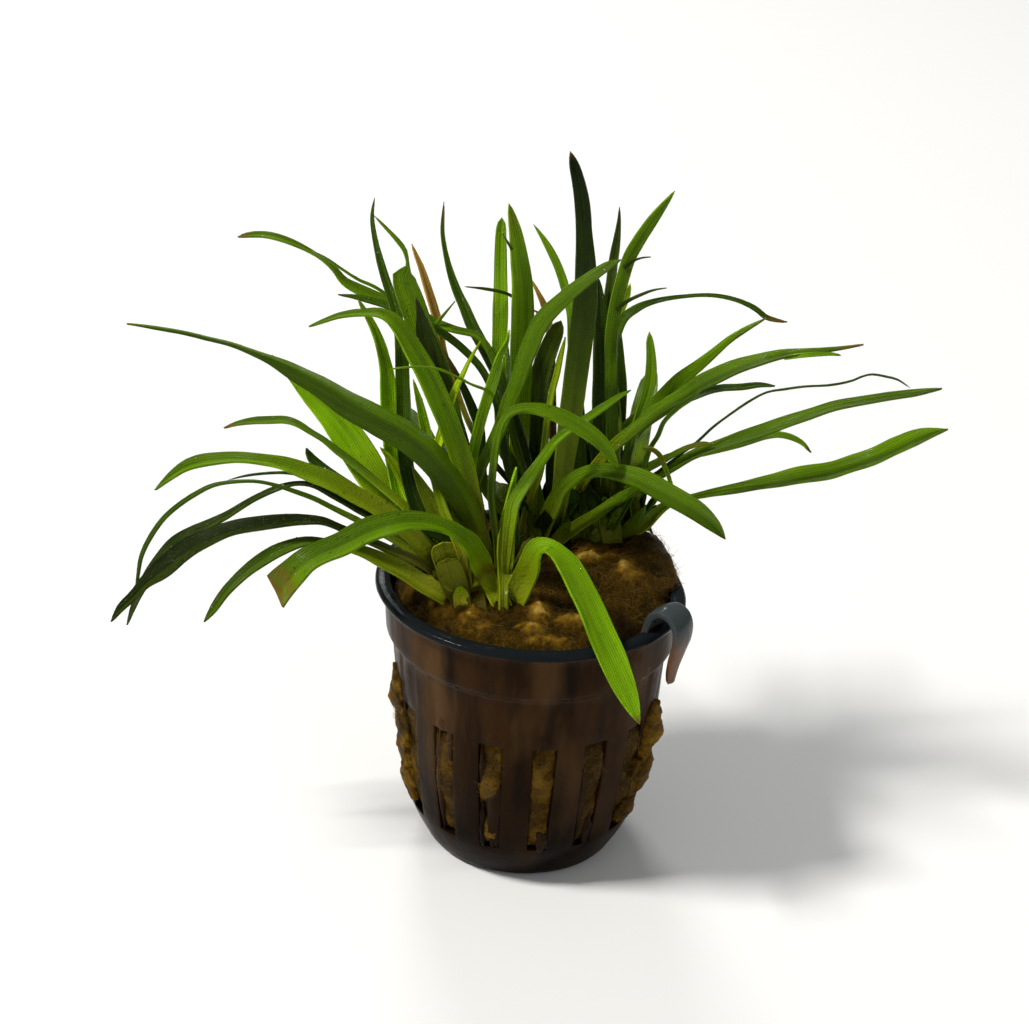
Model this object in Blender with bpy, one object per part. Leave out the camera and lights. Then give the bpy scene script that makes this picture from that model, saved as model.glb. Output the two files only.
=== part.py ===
"""A pipewort, a grass-like water plant, rooted in mineral wool in a small slotted net pot.

The frame: +Z is up, z = 0 is the flat underside of the pot and the Z axis is the pot's axis.
The viewer of the leaf readings stands on the -Y side, with +X to the right.
Sizes are in millimetres, and MM turns them into metres where a mesh is made.
"""

import math
from dataclasses import dataclass

import bmesh
import bpy
import numpy as np
from mathutils import Matrix, Vector
from mathutils.kdtree import KDTree

MM = 0.001
GAP = 0.3  # left between pieces that touch in the real thing

# Pot: a 5 cm net pot
POT_HEIGHT = 50.0
RIM_RADIUS = 27.0
RIM_DENT = 1.9  # the soft rim is pressed in beside the hook
RIM_DENT_AZIMUTH = 14.0
RIM_DENT_SPREAD = 26.0
RIM_DEPTH = 1.4
COLLAR_RADIUS = 25.4
WALL = 1.2
FLOOR = 1.2
BASE_RADIUS = 16.0
DRAIN_OUTER_RADIUS = 14.5
DRAIN_INNER_RADIUS = 8.0
SLOTS = 16
FIRST_SLOT_AZIMUTH = -81.0
SLOT_TOP = 30.0
SLOT_BOTTOM = 8.0
SLOT_ARC_TOP = 10.5  # degrees
SLOT_ARC_BOTTOM = 9.0

# Hook: a flat tongue moulded on the rim
HOOK_AZIMUTH = -37.0
HOOK_WIDTH = 5.0
HOOK_THICKNESS = 1.4

# Wool plug
WOOL_BULGE_LEAST = 0.5  # out of the slots, past the pot's outside
WOOL_BULGE_MOST = 2.3
WOOL_SEED = 7
POCKET_TOP = 70.0  # the cutters of the crowns' pockets end well above the wool
WOOL_LOW_TOP = 48.4
# Lumps of the wool above the rim: middle x, middle y, height, spread along X and along Y
WOOL_LUMPS = (
    (1.0, -4.0, 2.6, 15.0, 9.0),
    (2.0, 13.0, 3.4, 12.0, 8.0),
    (13.0, 12.0, 3.6, 8.0, 9.0),
    (22.5, 6.5, 6.6, 4.6, 8.5),
    (12.0, -2.0, 2.0, 5.0, 5.0),
    (7.0, -16.0, 1.6, 6.0, 4.0),
    (-6.0, -19.0, 0.9, 5.0, 3.0),
    (-17.0, 6.0, 1.4, 6.0, 8.0),
)

# Crowns: short rootstocks sunk in the wool
CROWN_SEGMENTS = 16
CROWN_SUNK = 2.5
CROWN_RISE = 1.4
CROWN_FOOT_SHARE = 0.8
CROWN_FOOT_RISE = 1.0
CROWN_DOME_SHARES = (1.0, 0.7, 0.35)

# Leaves
LEAF_SEGMENT_LENGTH = 5.0
LEAF_FEWEST_SEGMENTS = 6
LEAF_MOST_SEGMENTS = 11
LEAF_THICK_BASE = 0.8
LEAF_THICK_TIP = 0.5
LEAF_BASE_WIDTH_SHARE = 0.45
LEAF_GROWTH_SHARE = 0.3  # of its length, over which a leaf widens from its base
CUT_END_NARROWING = 0.25
TIP_ROUNDING = 0.7
LINE_POINTS = 56  # points of a leaf's middle line
LEAF_GREEN = (0.07, 0.21, 0.005)
LEAF_BROWN = (0.25, 0.13, 0.03)
LEAF_ROUGHNESS = 0.35

# Seats: the rings round a crown's axis that leaves stand on
SEAT_RINGS = (1.5, 3.3, 5.1, 6.9)
SEAT_RING_MARGIN = 0.4
SEAT_SPACING = 2.4
SEAT_LIFT = 0.8
SEAT_SWING_STEP = 6  # degrees
SEAT_SWING_COST = 1 / 30  # per degree away from the leaf's own heading
SEAT_RING_COST = 1 / 1.2  # per mm away from the ring that suits the leaf's steepness
HIGH_READING = 6.0  # a first reading this far over the crown doesn't tell the leaf's heading
FAR_READING = 14.0  # the first reading this far from the crown then does
RISE_REACH = 4.0  # how far a leaf rises from its seat before it turns to its readings

# Settling: moving and narrowing leaves until they are clear of each other
LEAF_CLEARANCE = 1.4
SETTLE_ROUNDS = 110
HOLD_START = 2.0  # from a leaf's seat, up to where settling leaves it alone
HOLD_RAMP = 6.0
NARROW_CLEARANCE = 1.1
NARROW_ROUNDS = 20
NARROW_REACH = 1  # points to each side that are narrowed with one that is too near
NARROW_STEP = 0.93
NARROWEST_SHARE = 0.22

# The view that the leaf readings are taken in: where the eye stands, the point that it looks
# at, how far the view is rolled, and the size of the picture, whose corner is reading (0, 0)
VIEW_EYE = np.array([0.0, -260.5, 188.7])
VIEW_AIM = np.array([-3.9, 0.0, 61.9])
VIEW_ROLL = math.radians(3.11)
VIEW_LENS = 1731.0
VIEW_COLUMNS = 1029
VIEW_ROWS = 1024


@dataclass(frozen=True)
class Crown:
    """A rootstock: where it stands, and how wide and high its top is."""

    x: float
    y: float
    radius: float
    top: float


CROWNS = {
    "left": Crown(x=-9.0, y=-5.5, radius=7.8, top=51.6),
    "middle": Crown(x=1.5, y=12.0, radius=7.4, top=53.3),
    "right": Crown(x=15.0, y=13.5, radius=5.8, top=54.2),
}


@dataclass(frozen=True)
class Leaf:
    """A strap leaf, read from the view.

    readings are (column, row) points from low on the leaf to its tip. depth is how far behind
    the pot's axis the tip lies, and the leaf runs evenly from its seat to that depth. face is
    how far the upper side turns to the viewer at the base and at the tip, in degrees.
    """

    name: str
    crown: str
    width: float
    depth: float
    readings: tuple
    face: tuple = (10.0, 25.0)
    fold: float = 0.3
    cut_end: bool = False
    taper: float = 4.5


@dataclass(frozen=True)
class BackLeaf:
    """A leaf on the far side, which the view doesn't reach: an arch of a given reach and rise.

    heading is the azimuth that it leans towards, in degrees.
    """

    name: str
    crown: str
    width: float
    heading: float
    reach: float
    rise: float
    fold: float = 0.3
    face: tuple = (0.0, 0.0)
    cut_end: bool = False
    taper: float = 4.5


LEFT_LEAVES = (
    Leaf(
        "leaf_left_long_folded", "left", 6.0, 6,
        ((490, 541), (453, 478), (388, 426), (306, 380), (222, 344), (126, 324)),
        (30, 30), 0.5, taper=1.5,
    ),
    Leaf(
        "leaf_left_wide_light", "left", 5.6, 21,
        ((412, 540), (380, 495), (345, 434), (310, 396), (272, 355)),
        (10, 45), taper=3.0,
    ),
    Leaf(
        "leaf_left_slim_high", "left", 2.4, 17,
        ((394, 498), (345, 453), (304, 425), (253, 419), (224, 428)),
        (0, 0),
    ),
    Leaf(
        "leaf_left_yellow_arch", "left", 5.0, -4,
        ((425, 535), (375, 502), (314, 473), (253, 459), (200, 464), (155, 490)),
        (15, 20),
    ),
    Leaf(
        "leaf_left_short_round", "left", 2.4, 14,
        ((380, 505), (345, 478), (307, 448)),
        (0, 10),
    ),
    Leaf(
        "leaf_left_wiry_arch", "left", 1.5, -12,
        ((400, 545), (355, 518), (294, 489), (227, 481), (182, 502), (145, 547), (136, 590)),
        (0, 0),
    ),
    Leaf(
        "leaf_left_grey", "left", 3.2, -7,
        ((400, 548), (371, 521), (324, 497), (270, 497), (205, 531), (158, 572), (127, 624)),
        (0, 15),
    ),
    Leaf(
        "leaf_left_deep_gloss", "left", 4.8, -17,
        ((432, 560), (400, 546), (341, 532), (295, 529), (243, 534), (182, 558), (133, 600), (112, 621)),
        (10, 25),
    ),
    Leaf(
        "leaf_left_low", "left", 4.8, -23,
        ((440, 590), (400, 572), (355, 553), (304, 542), (263, 558), (224, 594), (205, 620)),
        (20, 15),
    ),
    Leaf(
        "leaf_left_kinked", "left", 5.4, -20,
        ((495, 585), (483, 565), (459, 535), (403, 522), (335, 550), (268, 600)),
        (20, 25), 0.3, True,
    ),
    Leaf(
        "leaf_left_upright", "left", 2.9, 11,
        ((417, 526), (394, 468), (389, 395), (379, 340), (358, 300)),
        (30, 30),
    ),
    Leaf(
        "leaf_left_bent_over", "left", 4.2, 9,
        ((478, 520), (446, 425), (416, 362), (388, 318), (345, 312), (308, 327)),
        (30, 40),
    ),
    Leaf(
        "leaf_left_tall_slim", "left", 2.2, 22,
        ((425, 520), (406, 420), (399, 330), (387, 281), (373, 228), (374, 199)),
        (30, 30),
    ),
    Leaf(
        "leaf_left_shouldered", "left", 4.2, 18,
        ((470, 500), (440, 390), (420, 322), (405, 272), (402, 244), (375, 217)),
        (40, 40), taper=1.9,
    ),
    Leaf(
        "leaf_left_front_light", "left", 3.2, 4,
        ((486, 520), (484, 455), (508, 404), (526, 350), (562, 298), (621, 260)),
        (40, 50),
    ),
    Leaf(
        "leaf_left_slip", "left", 2.0, 12,
        ((464, 492), (477, 438), (490, 390), (509, 330)),
        (20, 40),
    ),
    Leaf(
        "leaf_left_crossing", "left", 2.8, 5,
        ((503, 545), (518, 502), (541, 462), (575, 426), (629, 391)),
        (40, 30),
    ),
    Leaf(
        "leaf_left_spear", "left", 1.7, 1,
        ((504, 548), (505, 524), (509, 500), (516, 469)),
        (40, 50),
    ),
    Leaf(
        "leaf_left_over_middle", "left", 3.4, 0,
        ((490, 480), (507, 413), (555, 419), (599, 441), (618, 467)),
        (40, 20),
    ),
    Leaf(
        "leaf_left_bright_spear", "left", 2.0, 7,
        ((436, 470), (449, 407), (461, 376), (481, 341)),
        (40, 40),
    ),
    Leaf(
        "leaf_front_folded", "left", 5.0, -31,
        ((514, 590), (530, 553), (553, 547), (580, 580), (604, 635), (639, 725)),
        (-60, 35), 0.3,
    ),
)

MIDDLE_LEAVES = (
    Leaf(
        "leaf_middle_far_left", "middle", 3.0, 26,
        ((520, 430), (502, 347), (440, 324), (385, 301), (345, 279), (304, 245), (238, 237)),
        (20, 30),
    ),
    Leaf(
        "leaf_middle_left_slim", "middle", 2.4, 16,
        ((508, 470), (490, 383), (452, 341), (400, 309), (339, 295)),
        (20, 30),
    ),
    Leaf(
        "leaf_middle_brown", "middle", 2.0, 28,
        ((478, 440), (443, 348), (428, 290), (412, 244)),
        (20, 30),
    ),
    Leaf(
        "leaf_middle_dark_high", "middle", 2.6, 30,
        ((510, 410), (482, 342), (455, 285), (442, 230), (444, 202)),
        (20, 40), taper=2.6,
    ),
    Leaf(
        "leaf_middle_upright_dark", "middle", 2.8, 30,
        ((499, 430), (500, 360), (501, 290), (502, 218)),
        (20, 40), taper=6.0,
    ),
    Leaf(
        "leaf_middle_upright_wide", "middle", 5.2, 24,
        ((519, 430), (522, 335), (521, 275), (509, 204)),
        (0, 0),
    ),
    Leaf(
        "leaf_middle_slim_right", "middle", 1.9, 36,
        ((572, 400), (570, 326), (560, 272), (534, 225)),
        (20, 30),
    ),
    Leaf(
        "leaf_middle_brown_short", "middle", 1.8, 33,
        ((553, 400), (550, 330), (531, 279)),
        (0, 0),
    ),
    Leaf(
        "leaf_middle_tallest", "middle", 5.0, 17,
        ((560, 500), (564, 410), (578, 330), (585, 250), (571, 152)),
        (0, 0), taper=3.4,
    ),
    Leaf(
        "leaf_middle_dark_curved", "middle", 5.0, 20,
        ((528, 470), (536, 405), (547, 358), (561, 322)),
        (20, 20), taper=7.0,
    ),
    Leaf(
        "leaf_middle_brownish", "middle", 2.4, 15,
        ((488, 500), (478, 425), (461, 385), (443, 350)),
        (20, 20),
    ),
    Leaf(
        "leaf_middle_long_right", "middle", 3.4, 9,
        ((556, 520), (580, 484), (619, 434), (690, 387), (760, 356), (863, 344)),
        (30, 10),
    ),
    Leaf(
        "leaf_middle_long_low_right", "middle", 3.0, 2,
        ((565, 532), (605, 508), (678, 462), (760, 429), (850, 402), (942, 388)),
        (30, 10),
    ),
    Leaf(
        "leaf_middle_front_arch", "middle", 5.0, -10,
        ((548, 534), (557, 499), (585, 472), (637, 478), (680, 498), (724, 538)),
        (30, 35),
    ),
    Leaf(
        "leaf_middle_dark_short", "middle", 4.4, 21,
        ((566, 520), (580, 480), (592, 440)),
        (30, 10),
    ),
    Leaf(
        "leaf_middle_bright_strip", "middle", 1.5, 11,
        ((541, 470), (548, 416), (557, 372), (565, 337)),
        (20, 40),
    ),
)

RIGHT_LEAVES = (
    Leaf(
        "leaf_right_blue_tip", "right", 2.2, 34,
        ((602, 400), (604, 310), (613, 254), (620, 207)),
        (10, 10), taper=2.6,
    ),
    Leaf(
        "leaf_right_tall_curved", "right", 2.8, 23,
        ((612, 420), (613, 310), (632, 238), (675, 191)),
        (30, 40),
    ),
    Leaf(
        "leaf_right_yellow", "right", 2.4, 18,
        ((620, 440), (617, 365), (616, 322), (630, 284)),
        (20, 30),
    ),
    Leaf(
        "leaf_right_wide_dark", "right", 3.6, 26,
        ((612, 480), (617, 400), (616, 350), (612, 300)),
        (0, 0),
    ),
    Leaf(
        "leaf_right_dark_inner", "right", 3.8, 29,
        ((600, 460), (602, 400), (601, 340), (598, 276)),
        (0, 0),
    ),
    Leaf(
        "leaf_right_wiry_top", "right", 1.6, 27,
        ((615, 400), (630, 316), (666, 300), (711, 294), (744, 301), (789, 323)),
        (0, 0),
    ),
    Leaf(
        "leaf_right_high", "right", 2.8, 20,
        ((615, 480), (650, 408), (692, 370), (734, 335), (768, 322)),
        (30, 30),
    ),
    Leaf(
        "leaf_right_dark_level", "right", 2.0, 26,
        ((622, 470), (650, 420), (700, 392), (772, 386)),
        (10, 0),
    ),
    Leaf(
        "leaf_right_slim_low", "right", 1.8, 14,
        ((632, 510), (666, 472), (713, 450), (765, 436), (812, 453)),
        (0, 0),
    ),
    Leaf(
        "leaf_right_glossy_low", "right", 4.6, 5,
        ((640, 527), (669, 508), (725, 493), (784, 482), (870, 456), (948, 429)),
        (20, 25),
    ),
    Leaf(
        "leaf_right_spear", "right", 2.4, 15,
        ((624, 470), (636, 420), (651, 378), (650, 333)),
        (0, 0),
    ),
    Leaf(
        "leaf_right_sheath", "right", 2.4, 6,
        ((609, 532), (614, 520), (620, 506)),
        (20, 20),
    ),
)

BACK_LEAVES = (
    BackLeaf("leaf_back_left", "left", 4.0, 118, 36, 17),
    BackLeaf("leaf_back_low_left", "middle", 4.2, 142, 40, 8),
    BackLeaf("leaf_back_middle_wide", "middle", 4.6, 116, 40, 14),
    BackLeaf("leaf_back_middle_low", "middle", 3.6, 76, 34, 8),
    BackLeaf("leaf_back_right_wide", "right", 4.4, 82, 38, 14),
    BackLeaf("leaf_back_right_low", "right", 3.8, 64, 26, 7),
)


def clear_scene():
    """Removes every object that is in the scene."""
    for obj in list(bpy.data.objects):
        bpy.data.objects.remove(obj, do_unlink=True)


def material(name, colour, roughness, metallic=0.0):
    """A Principled material of one colour, which is red, green and blue in linear light."""
    made = bpy.data.materials.new(name)
    made.use_nodes = True
    shader = made.node_tree.nodes["Principled BSDF"]
    shader.inputs["Base Color"].default_value = (*colour, 1.0)
    shader.inputs["Roughness"].default_value = roughness
    shader.inputs["Metallic"].default_value = metallic
    made.diffuse_color = (*colour, 1.0)
    return made


def add_object(name, shape, finish):
    """Turns a bmesh in millimetres into an object in metres, with its normals facing out."""
    bmesh.ops.scale(shape, vec=(MM, MM, MM), verts=shape.verts)
    bmesh.ops.recalc_face_normals(shape, faces=shape.faces)
    mesh = bpy.data.meshes.new(name)
    shape.to_mesh(mesh)
    shape.free()
    made = bpy.data.objects.new(name, mesh)
    mesh.materials.append(finish)
    bpy.context.scene.collection.objects.link(made)
    mesh.shade_smooth()
    mesh.set_sharp_from_angle(angle=math.radians(35))
    return made


def on_circle(radius, azimuth, height):
    """The point at a radius and an azimuth in degrees round the pot's axis."""
    turn = math.radians(azimuth)
    return Vector((radius * math.cos(turn), radius * math.sin(turn), height))


def on_pot(radius, azimuth, height):
    """A point of the pot's wall, which is pressed in a little towards the rim on one side."""
    from_dent = (azimuth - RIM_DENT_AZIMUTH + 180) % 360 - 180
    high = max(height - SLOT_TOP, 0.0) / (POT_HEIGHT - SLOT_TOP)
    dent = RIM_DENT * high * math.exp(-((from_dent / RIM_DENT_SPREAD) ** 2))
    return on_circle(radius - dent, azimuth, height)


def slot_half_arc(height):
    """Half a slot's arc in degrees at a height: the slots widen upwards."""
    share = (height - SLOT_BOTTOM) / (SLOT_TOP - SLOT_BOTTOM)
    share = min(max(share, 0.0), 1.0)
    return (SLOT_ARC_BOTTOM + (SLOT_ARC_TOP - SLOT_ARC_BOTTOM) * share) / 2


# The pot's section from the rim down the wall and in to the middle of the base. Each row is
# (outer radius, outer height, inner radius, inner height).
POT_ROWS = (
    (RIM_RADIUS - 0.4, POT_HEIGHT, COLLAR_RADIUS - 0.7, POT_HEIGHT),
    (RIM_RADIUS, POT_HEIGHT - 0.4, COLLAR_RADIUS - 1.1, POT_HEIGHT - 0.4),
    (RIM_RADIUS, POT_HEIGHT - RIM_DEPTH, COLLAR_RADIUS - WALL, POT_HEIGHT - RIM_DEPTH),
    (COLLAR_RADIUS, POT_HEIGHT - 1.8, COLLAR_RADIUS - WALL, POT_HEIGHT - 1.8),
    (25.0, 41.0, 23.8, 41.2),
    (23.9, 39.5, 22.7, 40.0),
    (23.1, SLOT_TOP, 21.9, SLOT_TOP),
    (22.4, 20.0, 21.2, 20.0),
    (20.7, SLOT_BOTTOM, 19.5, SLOT_BOTTOM),
    (19.3, 4.4, 18.2, 4.8),
    (17.4, 0.7, 16.7, 1.6),
    (BASE_RADIUS, 0.0, BASE_RADIUS - 0.3, FLOOR),
    (DRAIN_OUTER_RADIUS, 0.0, DRAIN_OUTER_RADIUS, FLOOR),
    (DRAIN_INNER_RADIUS, 0.0, DRAIN_INNER_RADIUS, FLOOR),
)
SLOT_ROWS = (6, 8)
DRAIN_ROWS = (12, 13)
POT_COLUMNS_PER_SLOT = 3


def pot_azimuths(height):
    """The azimuths of the pot's columns at a height: both edges of each slot, and mid rib."""
    half = slot_half_arc(height)
    pitch = 360 / SLOTS
    angles = []
    for slot in range(SLOTS):
        middle = FIRST_SLOT_AZIMUTH + slot * pitch
        angles += [middle - half, middle + half, middle + pitch / 2]
    return angles


def is_open(row, column):
    """Whether the cell below a row and after a column is a side slot or a drain slot."""
    in_slot_column = column % POT_COLUMNS_PER_SLOT == 0
    slot = column // POT_COLUMNS_PER_SLOT
    in_side = SLOT_ROWS[0] <= row < SLOT_ROWS[1]
    in_base = DRAIN_ROWS[0] <= row < DRAIN_ROWS[1] and slot % 2 == 0
    return in_slot_column and (in_side or in_base)


def pot_skins(shape):
    """The rows of points of the pot's outer and inner skin, and the two middle points."""
    outer, inner = [], []
    for out_radius, out_height, in_radius, in_height in POT_ROWS:
        angles = pot_azimuths(out_height)
        outer.append([shape.verts.new(on_pot(out_radius, a, out_height)) for a in angles])
        inner.append([shape.verts.new(on_pot(in_radius, a, in_height)) for a in angles])
    middles = shape.verts.new((0, 0, 0)), shape.verts.new((0, 0, FLOOR))
    return outer, inner, middles


def pot_cell(shape, outer, inner, row, column, count):
    """The faces of one cell of the pot's wall, or the four cheeks of an opening's cell."""
    after = (column + 1) % count
    corners = ((row, column), (row, after), (row + 1, after), (row + 1, column))
    if not is_open(row, column):
        shape.faces.new([outer[r][c] for r, c in corners])
        shape.faces.new([inner[r][c] for r, c in reversed(corners)])
        return
    beyond = ((row - 1, column), (row, after), (row + 1, column), (row, column - 1))
    for side, (next_row, next_column) in enumerate(beyond):
        if is_open(next_row, next_column % count):
            continue
        (r0, c0), (r1, c1) = corners[side], corners[(side + 1) % 4]
        shape.faces.new((outer[r0][c0], outer[r1][c1], inner[r1][c1], inner[r0][c0]))


def make_pot_shell():
    """The pot as one closed shell with its slots and drain openings, without the hook."""
    shape = bmesh.new()
    outer, inner, middles = pot_skins(shape)
    count = len(outer[0])
    for row in range(len(POT_ROWS) - 1):
        for column in range(count):
            pot_cell(shape, outer, inner, row, column, count)
    for column in range(count):
        after = (column + 1) % count
        shape.faces.new((outer[0][column], inner[0][column], inner[0][after], outer[0][after]))
        shape.faces.new((outer[-1][column], outer[-1][after], middles[0]))
        shape.faces.new((inner[-1][after], inner[-1][column], middles[1]))
    return shape


# The hook's middle line from its root in the rim to its free end: radius and height
HOOK_LINE = (
    (24.7, 47.4),
    (24.9, 50.6),
    (25.7, 52.9),
    (27.3, 54.0),
    (29.1, 53.7),
    (30.2, 52.3),
    (30.4, 50.0),
    (29.8, 47.2),
    (29.2, 44.4),
    (28.9, 42.0),
    (28.8, 40.8),
)
HOOK_END_SHARES = {8: 0.96, 9: 0.72, 10: 0.36}


def hook_section(half_width):
    """The hook's section as (across, up) points: a flat bar with bevelled corners."""
    half_thick = HOOK_THICKNESS / 2
    bevel = min(0.35, half_width / 3)
    quarter = ((half_width - bevel, half_thick), (half_width, half_thick - bevel))
    right = quarter + tuple((across, -up) for across, up in reversed(quarter))
    return right + tuple((-across, -up) for across, up in right)


def make_hook_shape():
    """The hook as a flat tongue that arches over the rim and hangs down outside it."""
    shape = bmesh.new()
    line = [Vector((radius, 0, height)) for radius, height in HOOK_LINE]
    across = Vector((0, 1, 0))
    rings = []
    for index, point in enumerate(line):
        ahead = line[min(index + 1, len(line) - 1)] - line[max(index - 1, 0)]
        up = ahead.normalized().cross(across)
        half_width = HOOK_WIDTH / 2 * HOOK_END_SHARES.get(index, 1.0)
        section = hook_section(half_width)
        rings.append([shape.verts.new(point + across * a + up * u) for a, u in section])
    join_rings(shape, rings)
    shape.faces.new(rings[0])
    shape.faces.new(rings[-1])
    turn = Matrix.Rotation(math.radians(HOOK_AZIMUTH), 3, "Z")
    bmesh.ops.rotate(shape, cent=(0, 0, 0), matrix=turn, verts=shape.verts)
    return shape


def join_rings(shape, rings):
    """Fills the bands between rings of points that all have the same number of points."""
    for first, second in zip(rings, rings[1:]):
        for index in range(len(first)):
            after = (index + 1) % len(first)
            shape.faces.new((first[index], first[after], second[after], second[index]))


def make_pot():
    """The pot with its hook, in one piece."""
    plastic = material("pot_plastic", (0.018, 0.012, 0.008), 0.28)
    pot = add_object("pot", make_pot_shell(), plastic)
    hook = add_object("hook_shape", make_hook_shape(), plastic)
    hook.hide_render = True
    hook.display_type = "WIRE"
    union = pot.modifiers.new("hook", "BOOLEAN")
    union.operation = "UNION"
    union.object = hook
    return pot


def wool_height(x, y):
    """How high the wool's top lies at a place."""
    height = WOOL_LOW_TOP
    for lump_x, lump_y, rise, spread_x, spread_y in WOOL_LUMPS:
        across = (x - lump_x) / spread_x
        along = (y - lump_y) / spread_y
        height += rise * math.exp(-across * across - along * along)
    return height


# The wool's side inside the pot, from its underside up: radius and height
WOOL_ROWS = (
    (14.0, FLOOR + GAP),
    (18.2 - GAP, 5.2),
    (19.5 - GAP, SLOT_BOTTOM + GAP),
    (20.4 - GAP, 14.5),
    (21.3 - GAP, 22.0),
    (21.9 - GAP, SLOT_TOP - GAP),
    (22.7 - GAP, 40.2),
    (23.8 - GAP, 42.5),
)
WOOL_SLOT_ROWS = (2, 5)
# The wool's top from its edge inwards: radius, and where it stands tall how far it leans out
# over the rim there and how far that row lies below the top
WOOL_TOP_ROWS = (
    (23.6, 0.0, 4.6),
    (23.1, 2.6, 3.0),
    (22.0, 2.4, 0.6),
    (18.5, 0.8, 0.0),
    (14.0, 0.0, 0.0),
    (8.0, 0.0, 0.0),
)
WOOL_SPILL_START = 50.5  # the height over which the top's edge leans out
WOOL_SPILL_RISE = 4.0
WOOL_SLOT_RADIUS = 21.0
WOOL_COLUMNS_PER_SLOT = 4


def wool_azimuths(height):
    """The azimuths of the wool's columns: clear of both edges of each slot, and mid slot."""
    half = slot_half_arc(height) - math.degrees(GAP / WOOL_SLOT_RADIUS)
    pitch = 360 / SLOTS
    angles = []
    for slot in range(SLOTS):
        middle = FIRST_SLOT_AZIMUTH + slot * pitch
        angles += [middle - half, middle, middle + half, middle + pitch / 2]
    return angles


def make_wool_plug():
    """The wool that fills the pot up to its lumpy top, and the faces that look out of slots."""
    shape = bmesh.new()
    rings = []
    for radius, height in WOOL_ROWS:
        rings.append([shape.verts.new(on_pot(radius, a, height)) for a in wool_azimuths(height)])
    for radius, spill, drop in WOOL_TOP_ROWS:
        ring = []
        for azimuth in wool_azimuths(SLOT_TOP):
            place = on_pot(radius, azimuth, POT_HEIGHT)
            height = wool_height(place.x, place.y)
            tall = min(max((height - WOOL_SPILL_START) / WOOL_SPILL_RISE, 0.0), 1.0)
            place = on_pot(radius + spill * tall, azimuth, POT_HEIGHT)
            ring.append(shape.verts.new((place.x, place.y, height - drop * tall)))
        rings.append(ring)
    join_rings(shape, rings)
    count = len(rings[0])
    shape.faces.new(list(reversed(rings[0])))
    peak = shape.verts.new((0, 0, wool_height(0, 0)))
    for column in range(count):
        shape.faces.new((rings[-1][column], rings[-1][(column + 1) % count], peak))
    return shape, rings


def push_wool_out(shape, rings):
    """Pushes the wool out through each side slot, most in the middle of the slot."""
    random = np.random.default_rng(WOOL_SEED)
    low, high = WOOL_SLOT_ROWS
    bmesh.ops.recalc_face_normals(shape, faces=shape.faces)
    for slot in range(SLOTS):
        first = slot * WOOL_COLUMNS_PER_SLOT
        columns = [first, first + 1, first + 2]
        patch = {rings[row][column] for row in range(low, high + 1) for column in columns}
        middle = {rings[row][columns[1]].co.copy().freeze() for row in range(low + 1, high)}
        faces = [face for face in shape.faces if all(vert in patch for vert in face.verts)]
        made = bmesh.ops.extrude_face_region(shape, geom=faces)
        bmesh.ops.delete(shape, geom=faces, context="FACES_ONLY")
        for vert in (item for item in made["geom"] if isinstance(item, bmesh.types.BMVert)):
            is_middle = vert.co.copy().freeze() in middle
            out = WALL + 2 * GAP
            if is_middle:
                out += random.uniform(WOOL_BULGE_LEAST, WOOL_BULGE_MOST)
            radial = Vector((vert.co.x, vert.co.y, 0)).normalized()
            vert.co += radial * out


def make_wool():
    """The plug of wet mineral wool, with a pocket for each crown."""
    shape, rings = make_wool_plug()
    push_wool_out(shape, rings)
    fibre = material("wet_wool", (0.16, 0.10, 0.015), 0.55)
    wool = add_object("wool", shape, fibre)
    for name, crown in CROWNS.items():
        pocket = bmesh.new()
        radius = crown.radius + GAP
        add_turned(pocket, crown, ((radius, crown_floor(crown) - GAP), (radius, POCKET_TOP)))
        cutter = add_object(f"pocket_{name}", pocket, fibre)
        cutter.hide_render = True
        cutter.display_type = "WIRE"
        cut = wool.modifiers.new(f"pocket_{name}", "BOOLEAN")
        cut.operation = "DIFFERENCE"
        cut.object = cutter
    return wool


def crown_floor(crown):
    """The height of a crown's underside, sunk in the wool."""
    return wool_height(crown.x, crown.y) - CROWN_SUNK


def add_turned(shape, crown, profile):
    """A solid turned round a crown's own axis from (radius, height) points, lowest first."""
    rings = []
    for radius, height in profile:
        ring = []
        for index in range(CROWN_SEGMENTS):
            place = on_circle(radius, 360 * index / CROWN_SEGMENTS, height)
            ring.append(shape.verts.new(place + Vector((crown.x, crown.y, 0))))
        rings.append(ring)
    join_rings(shape, rings)
    shape.faces.new(list(reversed(rings[0])))
    shape.faces.new(rings[-1])


def crown_height(crown, radius):
    """The height of a crown's domed top at a distance from its axis."""
    share = min(radius / crown.radius, 1.0)
    return crown.top - CROWN_RISE * share * share


def make_crown(name, crown):
    """A short domed rootstock."""
    shape = bmesh.new()
    floor = crown_floor(crown)
    profile = [(crown.radius * CROWN_FOOT_SHARE, floor), (crown.radius, floor + CROWN_FOOT_RISE)]
    for share in CROWN_DOME_SHARES:
        radius = crown.radius * share
        profile.append((radius, crown_height(crown, radius)))
    add_turned(shape, crown, profile)
    flesh = material(f"crown_{name}", (0.20, 0.22, 0.03), 0.5)
    return add_object(f"crown_{name}", shape, flesh)


def view_axes():
    """The view's directions: away from the eye, to the right and up in the picture."""
    away = VIEW_AIM - VIEW_EYE
    away /= np.linalg.norm(away)
    level = np.cross(away, (0.0, 0.0, 1.0))
    level /= np.linalg.norm(level)
    upright = np.cross(level, away)
    right = level * math.cos(VIEW_ROLL) + upright * math.sin(VIEW_ROLL)
    up = upright * math.cos(VIEW_ROLL) - level * math.sin(VIEW_ROLL)
    return away, right, up


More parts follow.
